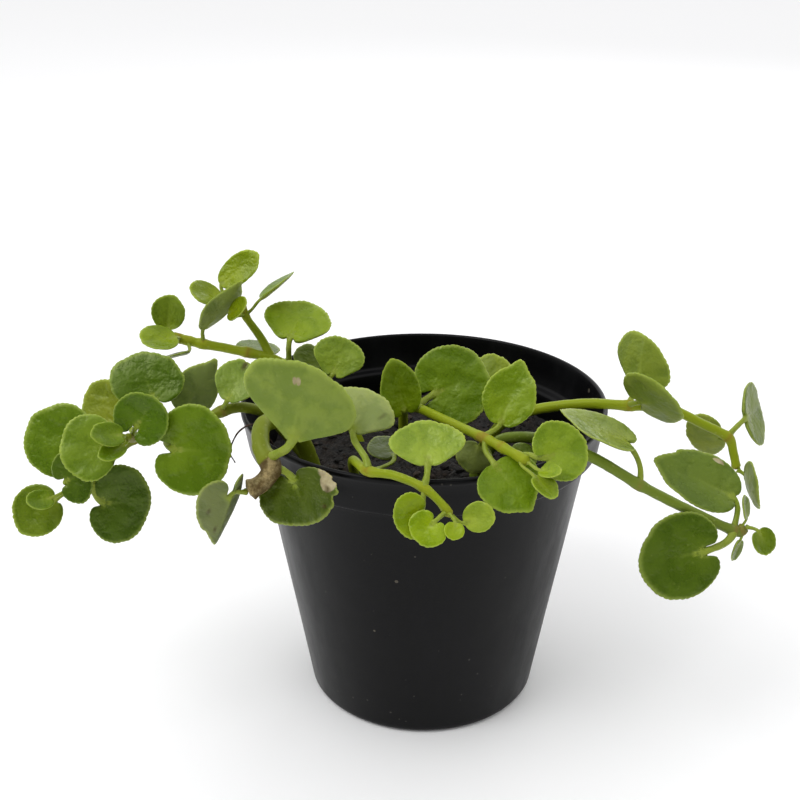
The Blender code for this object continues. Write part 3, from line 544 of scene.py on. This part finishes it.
def bladeSkin(name, row, outline):  # rings from the stalk to the toothed margin
    base, m, n, s, length = leafFrame(row)
    width, lobe, cup, fold, curl = row[5:]
    back = lobe * length
    reach, centre, half = (length + back) / 2, (length - back) / 2, width / 2
    stalk, thick = stalkRadius(width), bladeThickness(width)
    seed = sum(ord(c) * (k + 3) for k, c in enumerate(name)) % 997
    teeth = max(11, int(2.6 * (half + reach) / leafShape["toothPitch"]))
    columns = 2 * ((teeth * leafShape["perTooth"]) // 2)
    k = np.arange(2 * columns)
    j = np.minimum(k, 2 * columns - k)
    p = 2 * j / columns - 1
    upper = k <= columns
    wrap = min(1.0, lobe / 0.3)
    phi = p * math.radians(164 + 8 * wrap)
    shear, point, broad = outline
    corner = np.clip((np.abs(p) - 0.82) / 0.18, 0, 1)
    pull = 1 - 0.74 * (1 - np.sqrt(np.maximum(1 - corner ** 2, 0)))
    pull = pull * (1 + point * np.exp(-(phi / 0.32) ** 2)) * leafShape["shrink"]
    ring = np.stack([np.cos(phi) * 1.5, np.sin(phi) * 1.5, 0 * phi], 1)
    pull = pull * (1 + 0.045 * wobble(ring, 1.0, seed) + 0.02 * wobble(ring, 2.7, seed + 5))
    archU, archV = stalk * 0.4 * np.cos(p * math.pi / 2), stalk * 0.8 * np.sin(p * math.pi / 2)
    marginV = half * np.sin(phi) * (1 - broad * np.cos(phi))
    narrow = 1 - wedges.get(name, 0.0) * np.exp(-((centre + reach * np.cos(phi)) / (0.27 * length)) ** 2)
    marginU = centre + reach * np.cos(phi) - shear * marginV * narrow
    marginV = marginV * narrow
    marginV = np.sign(marginV) * np.maximum(np.abs(marginV), 1.2 * np.abs(archV))
    marginU, marginV = archU + (marginU - archU) * pull, archV + (marginV - archV) * pull
    beat = (j % leafShape["perTooth"]) / leafShape["perTooth"]
    tooth = leafShape["toothDepth"] * (np.abs(np.sin(beat * math.pi)) ** 0.7 - 0.6) * min(1, width / 12)
    far = np.hypot(marginU - archU, marginV - archV) + 1e-6
    tooth = tooth * (0.7 + 0.6 * wobble(ring, 3.0, seed + 9)) * np.minimum(1, far / 3.5) ** 2
    bite = np.zeros(len(k))
    for at, depth, spread in biteMarks.get(name, []):
        bite = bite + depth * np.exp(-((np.degrees(phi) - at) / spread) ** 2)
    rings, rows, places = [], [], []
    for r in (*leafShape["bladeRings"], 1.0):
        scale = np.maximum(r * far + (tooth - bite) * max(0, (r - 0.6) / 0.4) ** 2, 0) / far
        u = archU + scale * (marginU - archU)
        v = archV + scale * (marginV - archV)
        flat = base + np.outer(u, m) + np.outer(v, s)
        bend = cup * half * (((u - centre) / reach) ** 2 + (v / half) ** 2 - (centre / reach) ** 2)
        bend = bend + fold * (np.sqrt(v * v + 0.25) - 0.5) - curl * np.maximum(u, 0) ** 2 / length
        waves = wobble(flat, 0.17, seed) + 0.35 * wobble(flat, 0.5, seed)
        bend = bend + leafShape["waver"] * waves * r * min(1.0, width / 10)
        plump = thick * (1 + 0.25 * wobble(flat, 0.35, seed + 3))
        body = plump * (1 - r ** 6) ** 0.5
        inner = np.clip(np.sin(math.pi * j / columns) * (2.5 + 30 * r), 0, 1) ** 0.6
        groove = 0.1 * np.exp(-(v / 0.6) ** 2) * np.clip(1.2 - u / (0.5 * length), 0, 1)
        groove = groove * np.clip(u / 1.5, 0, 1)
        rib = 0.5 * stalk * np.exp(-(v / (0.8 * stalk)) ** 2) * np.clip(1 - u / (0.5 * length), 0, 1) ** 1.5
        lift = np.where(upper, 0.42 * body * inner - groove, -0.58 * body * inner - rib * inner * (1 - r))
        rings.append(flat + np.outer(bend + lift, n))
        ribs = np.exp(-(v / 0.5) ** 2) * (u > 0) * np.clip(1 - u / (0.8 * length), 0, 1)
        nearStalk = np.exp(-(np.hypot(u, v) / np.where(upper, 0.8 * stalk, 1.6 * stalk)) ** 2)
        rows.append(np.stack([np.full(len(k), r), upper * 1.0, nearStalk, ribs], 1))
        places.append(np.stack([np.full(len(k), r), u / length, v / half], 1))
    size, count = 2 * columns, len(rings) - 1
    keep = columns + 1
    verts = np.concatenate(rings[:-1] + [rings[-1][:keep]])
    rows = np.concatenate(rows[:-1] + [rows[-1][:keep]])
    places = np.concatenate(places[:-1] + [places[-1][:keep]])
    faces = []
    for q in range(columns):
        wall = [q, -q % size, (-q - 1) % size, q + 1]
        faces.append(tuple(w for i, w in enumerate(wall) if w not in wall[:i]))
    for a in range(count - 1):
        for q in range(size):
            q2 = (q + 1) % size
            faces.append((a * size + q, (a + 1) * size + q, (a + 1) * size + q2, a * size + q2))
    last, rim = (count - 1) * size, count * size
    for q in range(size):
        qa, qb = (q if q <= columns else size - q), (q + 1 if q + 1 <= columns else size - q - 1)
        faces.append((last + q, rim + qa, rim + qb, last + (q + 1) % size))
    return verts, faces, rows, places


def framesAlong(line, side):  # two directions across the line at each of its points
    last, frames = unit(line[1] - line[0]), []
    for i in range(len(line)):
        way = unit(line[min(i + 1, len(line) - 1)] - line[max(i - 1, 0)])
        side = turned(side, last, way)
        side = unit(side - np.dot(side, way) * way)
        frames.append((side, np.cross(way, side)))
        last = way
    return frames


def tubeFaces(count, sides):
    faces = [tuple(range(sides - 1, -1, -1)), tuple(range((count - 1) * sides, count * sides))]
    for i in range(count - 1):
        for k in range(sides):
            a, b = i * sides + k, i * sides + (k + 1) % sides
            faces.append((a, b, b + sides, a + sides))
    return faces


def stalkSkin(row):
    path, place = row[:2]
    base, m, n, s, length = leafFrame(row)
    width = row[5]
    stalk, thick = stalkRadius(width), bladeThickness(width)
    start, along, radius = stemPlace(path, place)
    toward = unit(base - start)
    atTip = place >= len(stemPaths[path][3]) - 1.2
    out = toward if atTip else unit(toward - 0.8 * np.dot(toward, along) * along)
    foot = start + out * radius * 0.3
    run = np.linalg.norm(base - foot)
    arrive = unit(0.55 * m + 0.45 * unit(base - foot))
    b = [foot, foot + out * run * 0.35, base - arrive * run * 0.35, base]
    steps, sides = leafShape["stalkSteps"], leafShape["stalkSides"]
    line, wide = [], []
    for i in range(steps + 1):
        t = i / steps
        line.append((1 - t) ** 3 * b[0] + 3 * t * (1 - t) ** 2 * b[1]
                    + 3 * t * t * (1 - t) * b[2] + t ** 3 * b[3])
        wide.append(stalk * (0.68 + 0.35 * (1 - t) ** 5 + 0.2 * t ** 3))
    for ahead, share in ((0.45, 0.75), (0.9, 0.55), (1.35, 0.3)):
        sunk = n * (0.05 + 0.04 * ahead) * thick
        line.append(base + (m * ahead + arrive * 0.25 * math.sqrt(ahead)) * stalk - sunk)
        wide.append(stalk * share * 0.9)
    verts = []
    for i, (side, up) in enumerate(framesAlong(line, unit(np.cross(n, line[1] - line[0])))):
        for q in range(sides):
            a = 2 * math.pi * q / sides
            flat = 0.82 if i > 1 else 1.0
            verts.append(line[i] + (side * math.cos(a) + up * math.sin(a) * flat) * wide[i])
    return np.array(verts), tubeFaces(len(line), sides)


def plainMesh(name, verts, faces):
    mesh = bpy.data.meshes.new(name)
    mesh.from_pydata([tuple(v) for v in verts], [], faces)
    bm = bmesh.new()
    bm.from_mesh(mesh)
    bmesh.ops.recalc_face_normals(bm, faces=bm.faces[:])
    bm.to_mesh(mesh)
    bm.free()
    made = bpy.data.objects.new(name, mesh)
    bpy.context.scene.collection.objects.link(made)
    return made


def wholeLeaf(name, row, outline):  # blade and stalk as one skin, softened where they meet
    verts, faces, rows, places = bladeSkin(name, row, outline)
    stalkVerts, stalkFaces = stalkSkin(row)
    blade, stalk = plainMesh("blade_piece", verts, faces), plainMesh("stalk_piece", stalkVerts, stalkFaces)
    union = blade.modifiers.new("union", "BOOLEAN")
    union.operation, union.solver, union.object = "UNION", "EXACT", stalk
    for checked in (False, True):  # the slower union only where the quick one fails
        union.use_self = checked
        mesh = finishedMesh(blade)
        if len(mesh.polygons) > 0.9 * len(faces):
            break
    base, m, n, s, length = leafFrame(row)
    reach = 2.4 * stalkRadius(row[5])
    bm = bmesh.new()
    bm.from_mesh(mesh)
    soft = [v for v in bm.verts if (v.co - Vector(base)).length < reach]
    for _ in range(leafShape["softenings"]):
        bmesh.ops.smooth_vert(bm, verts=soft, factor=0.5, use_axis_x=True, use_axis_y=True, use_axis_z=True)
    bm.verts.ensure_lookup_table()
    tree = KDTree(len(verts) + len(stalkVerts))
    for i, v in enumerate(verts):
        tree.insert(v, i)
    for i, v in enumerate(stalkVerts):
        tree.insert(v, len(verts) + i)
    tree.balance()
    allRows = np.concatenate([rows, np.tile((0.0, 0.5, 1.0, 0.0), (len(stalkVerts), 1))])
    allPlaces = np.concatenate([places, np.tile((0.0, -1.0, 0.0), (len(stalkVerts), 1))])
    found = [tree.find(v.co)[1] for v in bm.verts]
    outVerts = np.array([v.co[:] for v in bm.verts])
    outFaces = [tuple(v.index for v in f.verts) for f in bm.faces]
    bm.free()
    for made in (blade, stalk):
        bpy.data.objects.remove(made)
    return outVerts, outFaces, allRows[found], allPlaces[found]


# bites out of the margin: direction in degrees, depth in mm, spread in degrees
biteMarks = {"hanging_leaf_2": [(62, 1.8, 9), (84, 1.0, 8), (100, 1.2, 6), (40, 0.5, 6)],
             "low_leaf_2": [(-35, 0.5, 6)], "hanging_leaf_3": [(30, 0.5, 8)], "left_leaf_11": [(20, 0.4, 6)]}
# spots: share along the blade, share across, size in mm of the blade's half width, strength
leafWear = {
    "left_leaf_10": dict(spots=[(0.86, 0.05, 0.1)]),
    "hanging_leaf_1": dict(dry=[(0.78, -0.12, 0.035), (0.75, -0.05, 0.03)]),
    "hanging_leaf_2": dict(dry=[(0.42, 0.78, 0.16), (0.2, 0.9, 0.2), (-0.05, 0.92, 0.2)],
                           spots=[(0.55, 0.72, 0.06), (0.8, 0.5, 0.04)]),
    "hanging_leaf_3": dict(spots=[(0.4, 0.6, 0.05), (0.7, 0.2, 0.05)]),
    "left_leaf_3": dict(spots=[(-0.1, 0.5, 0.05)]),
    "front_leaf_1": dict(spots=[(0.5, 0.6, 0.05)]),
    "low_leaf_2": dict(dry=[(0.35, -0.85, 0.06)]),
}


def wearColours(name, places):
    rows = np.zeros((len(places), 4))
    rows[:, 3] = 1
    wear = leafWear.get(name)
    if wear:
        q = np.array(places)
        for column, key in ((0, "dry"), (1, "spots")):
            for uu, vv, size in wear.get(key, []):
                rows[:, column] = np.maximum(rows[:, column], np.clip(
                    1.6 - np.hypot(q[:, 1] - uu, q[:, 2] - vv) / size, 0, 1))
    return rows


def tintRows(rows, upper, under):
    upper, under = np.array(rgb(*upper)), np.array(rgb(*under))
    share = rows[:, 1:2]
    return upper * share + under * (1 - share)


faceCount = 0
for name, row in leafPlan.items():
    verts, faces, rows, places = wholeLeaf(name, row, outlines.get(name, (0.0, 0.0, 0.0)))
    leaf = newPiece(name + "_fine", verts * mm, faces, [leafSkinMaterial], [name])
    paint(leaf, "leafMap", rows)
    upper, under = upperTintAndShade.get(name, usualTint["upper"]), underTintAndShade.get(name, usualTint["under"])
    # these blade colours carry painted shade on the blades that sit in shade
    paint(leaf, "tint", tintRows(rows, upper, under))
    paint(leaf, "wear", wearColours(name, places))
    faceCount += len(faces)
print("leaves built,", len(leafPlan), "leaves,", faceCount, "faces")


# Stems with their joints and growing tips
stemShape = dict(sides=20, perSpan=12, swell=0.26, swellReach=1.3, scarReach=0.55)
stemDress = {"left_trailing_stem": "old", "left_upper_stem": "green", "hanging_stem": "old",
             "front_stem": "green", "middle_stem": "green", "right_upper_stem": "green",
             "right_lower_stem": "grey"}
leafPlaces = {}
for row in list(leafPlan.values()) + [r for rows in youngPlan.values() for r in rows]:
    leafPlaces.setdefault(row[0], set()).add(row[1])


deadEnds = {"hanging": 9.5, "left_upright": 0.9}  # mm of dry brown tip


def deadShare(path, left):
    return 0.0 if path not in deadEnds else min(1.0, max(0.0, (deadEnds[path] - left) / 2.0 + 0.5))


def stemSkin(path):
    stem, r0, r1, points = stemPaths[path]
    fine = np.array(smoothed(points, stemShape["perSpan"]))
    count = len(fine)
    step = np.linalg.norm(np.diff(fine, axis=0), axis=1)
    travelled = np.concatenate([[0], np.cumsum(step)])
    places = [min(int(round(place * stemShape["perSpan"])), count - 1) for place in leafPlaces.get(path, [])]
    joints = [travelled[place] for place in places]
    verts, rows = [], []
    across = unit(np.cross(unit(fine[1] - fine[0]), (0.3, 0.2, 1.0)))
    for i, (side, up) in enumerate(framesAlong(fine, across)):
        near = min([abs(travelled[i] - j) for j in joints] + [99])
        swollen = 1 + stemShape["swell"] * math.exp(-(near / stemShape["swellReach"]) ** 2)
        radius = (r0 + (r1 - r0) * i / (count - 1)) * swollen
        radius *= 1 - 0.10 * math.exp(-((near - 0.15) / 0.22) ** 2)
        tipRound = min(1.0, (count - 1 - i) / 4 + 0.45)
        for k in range(stemShape["sides"]):
            a = 2 * math.pi * k / stemShape["sides"]
            knob = noise.noise(Vector(fine[i]) * 0.8 + Vector((math.cos(a), math.sin(a), 3)))
            knob = 1 + 0.06 * knob + 0.02 * math.cos(3 * a)
            verts.append(fine[i] + (side * math.cos(a) + up * math.sin(a)) * radius * tipRound * knob)
            scar, warm = math.exp(-(near / stemShape["scarReach"]) ** 2), 0.3 * math.exp(-(near / 2.0) ** 2)
            rows.append((scar, deadShare(path, travelled[-1] - travelled[i]), warm, 1))
    return verts, tubeFaces(count, stemShape["sides"]), rows


for stem, skin in stemDress.items():
    verts, faces, rows, slots, leafRows = [], [], [], [], []
    for path in [p for p, plan in stemPaths.items() if plan[0] == stem]:
        v, f, r = stemSkin(path)
        faces += [tuple(len(verts) + q for q in face) for face in f]
        verts += v
        rows += r
        leafRows += [(0, 0, 0, 0)] * len(v)
        slots += [0] * len(f)
    for k, row in enumerate(youngPlan.get(stem, [])):
        v, f, r, _ = wholeLeaf("%s_young_%d" % (stem, k), row, (0.0, 0.0, 0.0))
        faces += [tuple(len(verts) + q for q in face) for face in f]
        verts += list(v)
        rows += [(0, 0, 0, 1)] * len(v)
        leafRows += [tuple(q) for q in r]
        slots += [1] * len(f)
    skins = [stemPaint[skin], leafSkinMaterial]
    piece = newPiece(stem + "_fine", np.array(verts) * mm, faces, skins, [stem], slots)
    paint(piece, "stemMap", rows)
    paint(piece, "leafMap", leafRows)
    young = youngTint.get(stem, usualTint["young"])
    paint(piece, "tint", tintRows(np.array(leafRows, float), young, usualTint["under"]))
    paint(piece, "wear", [(0, 0, 0, 1)] * len(verts))
print("stems built")

# Pot
# the pot's outline turned round its axis: radius and height, up the outside and down the inside
potPlan = dict(turns=192, holes=6, holeRadius=3.0, holeRing=20.5, outer=[
    (0, 0), (10, 0), (20, 0), (27.2, 0), (28.2, 0.12), (28.9, 0.5), (29.3, 1.1), (29.45, 1.9),
    (30.3, 7), (33.2, 24), (36.3, 42), (39.2, 59), (40.55, 66.6), (40.8, 67.7), (41.0, 68.2),
    (41.5, 68.6), (42.5, 68.95), (43.1, 69.15), (43.35, 69.45), (43.42, 69.9), (43.7, 71.6),
    (44.2, 74.6), (44.62, 77.2), (44.82, 77.55), (44.95, 77.9), (44.99, 78.4), (44.86, 78.78),
    (44.55, 78.97)],
    inner=[(44.2, 79), (43.92, 78.86), (43.78, 78.5), (43.55, 77.2), (43.0, 74), (42.35, 70.6),
           (42.1, 70.1), (41.6, 69.85), (40.6, 69.65), (40.1, 69.4), (39.85, 68.9), (39.6, 67),
           (36.5, 49), (33.0, 28), (29.6, 8), (28.55, 2.3), (28.1, 1.6), (27.3, 1.3), (20, 1.3),
           (10, 1.3), (0, 1.3)])


def potMaterial():
    made, tree, shader = startMaterial("pot_black_plastic")
    mottle = useGroup(tree, mottleGroup, Patch_Scale=26.0, Grain_Scale=2600.0, Grain_Share=0.5)
    dust = useGroup(tree, fleckGroup, Scale=520.0, Size=0.17, Share=0.16)
    grit = useGroup(tree, fleckGroup, Scale=170.0, Size=0.12, Share=0.12)
    smear = nodeIn(tree, "ShaderNodeTexNoise", in_Scale=1.0, in_Detail=5.0, in_Roughness=0.7)
    where = nodeIn(tree, "ShaderNodeTexCoord")
    stretch = nodeIn(tree, "ShaderNodeMapping")
    stretch.inputs["Scale"].default_value = (90, 90, 22)
    tree.links.new(where.outputs["Object"], stretch.inputs["Vector"])
    tree.links.new(stretch.outputs["Vector"], smear.inputs["Vector"])
    film = rampBetween(tree, smear.outputs["Fac"], 0.45, 0.8, 0.0, 0.32)
    base = mixColour(tree, film, rgb(3, 3, 4), rgb(27, 27, 30))
    base = mixColour(tree, times(tree, mottle.outputs["Patches"], 0.25), base, rgb(9, 10, 13))
    base = mixColour(tree, times(tree, dust.outputs["Mask"], 0.22), base, rgb(120, 116, 108))
    base = mixColour(tree, times(tree, grit.outputs["Mask"], 0.35), base, rgb(134, 126, 112))
    rough = plus(tree, rampBetween(tree, smear.outputs["Fac"], 0.3, 0.8, 0.3, 0.5),
                  times(tree, dust.outputs["Mask"], 0.2))
    dress(tree, shader, base, rough)
    setInputs(shader, Specular_IOR_Level=0.14)
    lumps = plus(tree, times(tree, mottle.outputs["Patches"], 2.5), mottle.outputs["Grain"])
    lumps = plus(tree, lumps, times(tree, dust.outputs["Mask"], 0.8))
    bumpFrom(tree, shader, lumps, 0.25, 0.00018)
    return made


profile = potPlan["outer"] + potPlan["inner"]
turns = potPlan["turns"]
verts, faces, ringStart = [], [], []
for r, z in profile:
    ringStart.append(len(verts))
    if r == 0:
        verts.append((0, 0, z * mm))
        continue
    for k in range(turns):
        a = 2 * math.pi * k / turns
        uneven = noise.noise(Vector((math.cos(a) * 2, math.sin(a) * 2, z * 0.06)))
        sway = 1 + 0.0016 * math.sin(2 * a + 0.6) * (z / 79) + 0.0012 * uneven
        sway = min(sway, 1.0) if r > 44.3 else sway
        verts.append((r * sway * math.cos(a) * mm, r * sway * math.sin(a) * mm, z * mm))
for a, b, (ra, _), (rb, _) in zip(ringStart[:-1], ringStart[1:], profile[:-1], profile[1:]):
    for k in range(turns):
        k2 = (k + 1) % turns
        if ra == 0:
            faces.append((a, b + k2, b + k))
        elif rb == 0:
            faces.append((a + k, a + k2, b))
        else:
            faces.append((a + k, a + k2, b + k2, b + k))
pot = newPiece("pot_fine", verts, faces, [potMaterial()], ["pot"])
for h in range(potPlan["holes"]):
    bm = bmesh.new()
    bmesh.ops.create_cone(bm, cap_ends=True, segments=36, radius1=potPlan["holeRadius"] * mm,
                          radius2=potPlan["holeRadius"] * mm, depth=6 * mm)
    turn = math.radians(60 * h + 30)
    shift = (potPlan["holeRing"] * mm * math.cos(turn), potPlan["holeRing"] * mm * math.sin(turn), 0.0006)
    bmesh.ops.translate(bm, verts=bm.verts[:], vec=shift)
    drill = bpy.data.objects.new("drill_%d" % h, bpy.data.meshes.new("drill_%d" % h))
    bm.to_mesh(drill.data)
    bm.free()
    bpy.context.scene.collection.objects.link(drill)
    hole = pot.modifiers.new("hole_%d" % h, "BOOLEAN")
    hole.operation, hole.solver, hole.object = "DIFFERENCE", "EXACT", drill
cutMesh = finishedMesh(pot)
pot.modifiers.clear()
pot.data = cutMesh
for drill in [o for o in bpy.data.objects if o.name.startswith("drill_")]:
    bpy.data.objects.remove(drill)
print("pot built")

# Soil
soilPlan = dict(top=64.0, rings=70, spokes=220, edge=39.0, crumbs=1100, seed=11)


def soilMaterial():
    made, tree, shader = startMaterial("potting_soil")
    tone, _, _, _ = readPaint(tree, "crumbTone")
    mottle = useGroup(tree, mottleGroup, Patch_Scale=240.0, Grain_Scale=2400.0, Grain_Share=0.6)
    grain = mottle.outputs["Grain"]
    base = mixColour(tree, rampBetween(tree, grain, 0.3, 0.75), rgb(5, 4, 3), rgb(27, 21, 17))
    base = mixColour(tree, times(tree, tone, 0.7), base, rgb(66, 52, 40))
    dress(tree, shader, base, rampBetween(tree, grain, 0.2, 0.8, 0.8, 1.0))
    bumpFrom(tree, shader, grain, 0.8, 0.0004)
    return made


def soilHeight(x, y):
    p = Vector((x, y, 0))
    r = math.hypot(x, y) / soilPlan["edge"]
    rough = 1.3 * noise.noise(p * 0.13) + 0.9 * noise.noise(p * 0.42) + 0.5 * noise.noise(p * 1.3)
    return soilPlan["top"] + rough - 1.0 * r * r


verts, faces, tones = [(0, 0, soilHeight(0, 0) * mm)], [], [0.0]
rings, spokes = soilPlan["rings"], soilPlan["spokes"]
for i in range(1, rings + 1):
    r = soilPlan["edge"] * i / rings
    for k in range(spokes):
        a = 2 * math.pi * k / spokes
        x, y = r * math.cos(a), r * math.sin(a)
        verts.append((x * mm, y * mm, soilHeight(x, y) * mm))
        tones.append(max(0.0, noise.noise(Vector((x, y, 5)) * 0.9)) * 0.5)
for r, z in ((37.5, 58.0), (28.2, 2.6)):
    for k in range(spokes):
        a = 2 * math.pi * k / spokes
        verts.append((r * math.cos(a) * mm, r * math.sin(a) * mm, z * mm))
        tones.append(0.0)
for k in range(spokes):
    faces.append((0, 1 + k, 1 + (k + 1) % spokes))
for i in range(rings + 1):
    for k in range(spokes):
        a, b = 1 + i * spokes, 1 + (i + 1) * spokes
        faces.append((a + k, b + k, b + (k + 1) % spokes, a + (k + 1) % spokes))
faces.append(tuple(1 + (rings + 1) * spokes + k for k in range(spokes - 1, -1, -1)))
bm = bmesh.new()
bmesh.ops.create_icosphere(bm, subdivisions=1, radius=1.0)
ball = np.array([v.co[:] for v in bm.verts])
ballFaces = [[v.index for v in f.verts] for f in bm.faces]
bm.free()
crumbDice = np.random.default_rng(soilPlan["seed"])
for _ in range(soilPlan["crumbs"]):
    r, a = 38.0 * math.sqrt(crumbDice.random()), crumbDice.random() * 2 * math.pi
    x, y = r * math.cos(a), r * math.sin(a)
    size = 0.3 + 1.1 * crumbDice.random() ** 3
    stretch = np.array([1.0, 0.55 + 0.45 * crumbDice.random(), 0.45 + 0.4 * crumbDice.random()])
    spin = crumbDice.random() * math.pi
    shape = ball * (0.75 + 0.5 * crumbDice.random(len(ball)))[:, None] * stretch * size
    turnX = np.array([[math.cos(spin), -math.sin(spin), 0], [math.sin(spin), math.cos(spin), 0], [0, 0, 1]])
    shape = shape @ turnX.T + (x, y, soilHeight(x, y) + 0.3 * size)
    faces += [tuple(len(verts) + q for q in f) for f in ballFaces]
    verts += [tuple(q) for q in shape * mm]
    tones += [max(0.0, crumbDice.random() * 1.5 - 0.7)] * len(shape)
soil = newPiece("soil_fine", verts, faces, [soilMaterial()], ["soil"], smooth=False)
paint(soil, "crumbTone", [(t, t, t, 1) for t in tones])
print("soil built")

# Dry rootlet over the rim
rootPlan = dict(radius=0.28, sides=8, points=[
    (-33, -14, 66), (-35.5, -16, 73), (-39, -19.5, 80), (-42.5, -23, 80), (-44.5, -25, 76), (-43, -28, 74.5)])


def rootMaterial():
    made, tree, shader = startMaterial("dry_rootlet")
    mottle = useGroup(tree, mottleGroup, Patch_Scale=500.0, Grain_Scale=3000.0, Grain_Share=0.5)
    grain = mottle.outputs["Grain"]
    skin = mixColour(tree, grain, rgb(30, 18, 14), rgb(78, 54, 40))
    dress(tree, shader, skin, rampBetween(tree, grain, 0.2, 0.8, 0.6, 0.9))
    bumpFrom(tree, shader, grain, 0.7, 0.0003)
    return made


line = np.array(smoothed(rootPlan["points"], 10))
verts = []
for i, (side, up) in enumerate(framesAlong(line, unit(np.cross(line[1] - line[0], (1, 0, 0))))):
    thin = rootPlan["radius"] * (1 - 0.45 * i / len(line)) * (1 + 0.25 * noise.noise(Vector(line[i]) * 0.9))
    for k in range(rootPlan["sides"]):
        a = 2 * math.pi * k / rootPlan["sides"]
        verts.append((line[i] + (side * math.cos(a) + up * math.sin(a)) * thin) * mm)
faces = tubeFaces(len(line), rootPlan["sides"])
newPiece("dry_rootlet_fine", verts, faces, [rootMaterial()], ["dry_rootlet"])
print("rootlet built")

# Floor, light and camera
studio = dict(floorSize=7.0, skyStrength=1.06, keyPower=3.4, fillPower=1.2)


def floorMaterial():
    made, tree, shader = startMaterial("studio_floor")
    where = nodeIn(tree, "ShaderNodeTexCoord")
    clouds = nodeIn(tree, "ShaderNodeTexNoise", in_Scale=3.0, in_Detail=2.0, in_Roughness=0.55)
    tree.links.new(where.outputs["Object"], clouds.inputs["Vector"])
    paper = mixColour(tree, times(tree, clouds.outputs["Fac"], 0.05), rgb(246, 246, 247), rgb(238, 238, 240))
    tree.links.new(paper, shader.inputs["Base Color"])
    setInputs(shader, Roughness=0.75, Specular_IOR_Level=0.2, Emission_Color=(1, 1, 1, 1),
              Emission_Strength=0.06)
    return made


floorMesh = bpy.data.meshes.new("studio_floor")
h = studio["floorSize"] / 2
floorMesh.from_pydata([(-h, -h, 0), (h, -h, 0), (h, h, 0), (-h, h, 0)], [], [(0, 1, 2, 3)])
floor = bpy.data.objects.new("studio_floor", floorMesh)
floorMesh.materials.append(floorMaterial())
bpy.context.scene.collection.objects.link(floor)
floor.location.z = -0.0002


def softBox(name, where, aim, size, power):
    lamp = bpy.data.lights.new(name, "AREA")
    lamp.shape, lamp.size, lamp.size_y, lamp.energy = "RECTANGLE", size[0], size[1], power
    made = bpy.data.objects.new(name, lamp)
    bpy.context.scene.collection.objects.link(made)
    made.location = where
    made.rotation_euler = (Vector(aim) - Vector(where)).to_track_quat("-Z", "Y").to_euler()
    return made


softBox("key", (-0.45, -0.35, 0.8), (0, 0, 0.07), (0.5, 0.5), studio["keyPower"])
softBox("back", (0.35, 0.75, 0.55), (0, 0, 0.07), (0.7, 0.5), studio["fillPower"])

world = bpy.data.worlds.new("studio_sky")
bpy.context.scene.world = world
world.use_nodes = True
sky = world.node_tree
background = sky.nodes["Background"]
where = nodeIn(sky, "ShaderNodeTexCoord")
spread = nodeIn(sky, "ShaderNodeSeparateXYZ")
sky.links.new(where.outputs["Generated"], spread.inputs[0])
behind = rampBetween(sky, spread.outputs["Y"], -0.7, 0.3, 0.24, 1.0)
above = rampBetween(sky, spread.outputs["Z"], 0.35, 0.95, 0.0, 1.3)
bright = maths(sky, "MAXIMUM", behind, above)
sky.links.new(mixColour(sky, bright, (0, 0, 0, 1), (1, 1, 1, 1)), background.inputs["Color"])
background.inputs["Strength"].default_value = studio["skyStrength"]

viewPlan = dict(distance=0.315, elevation=23.55, lens=57.46, aim=(-0.00585, -0.0003, 0.0783))
eye = bpy.data.cameras.new("camera")
eye.sensor_width, eye.lens, eye.clip_start, eye.clip_end = 36.0, viewPlan["lens"], 0.01, 20.0
camera = bpy.data.objects.new("camera", eye)
bpy.context.scene.collection.objects.link(camera)
tilt = math.radians(viewPlan["elevation"])
camera.location = (0, -viewPlan["distance"] * math.cos(tilt), 0.079 + viewPlan["distance"] * math.sin(tilt))
camera.rotation_euler = (Vector(viewPlan["aim"]) - camera.location).to_track_quat("-Z", "Y").to_euler()
bpy.context.scene.camera = camera
bpy.context.scene.view_settings.view_transform = "Standard"
print("studio ready")
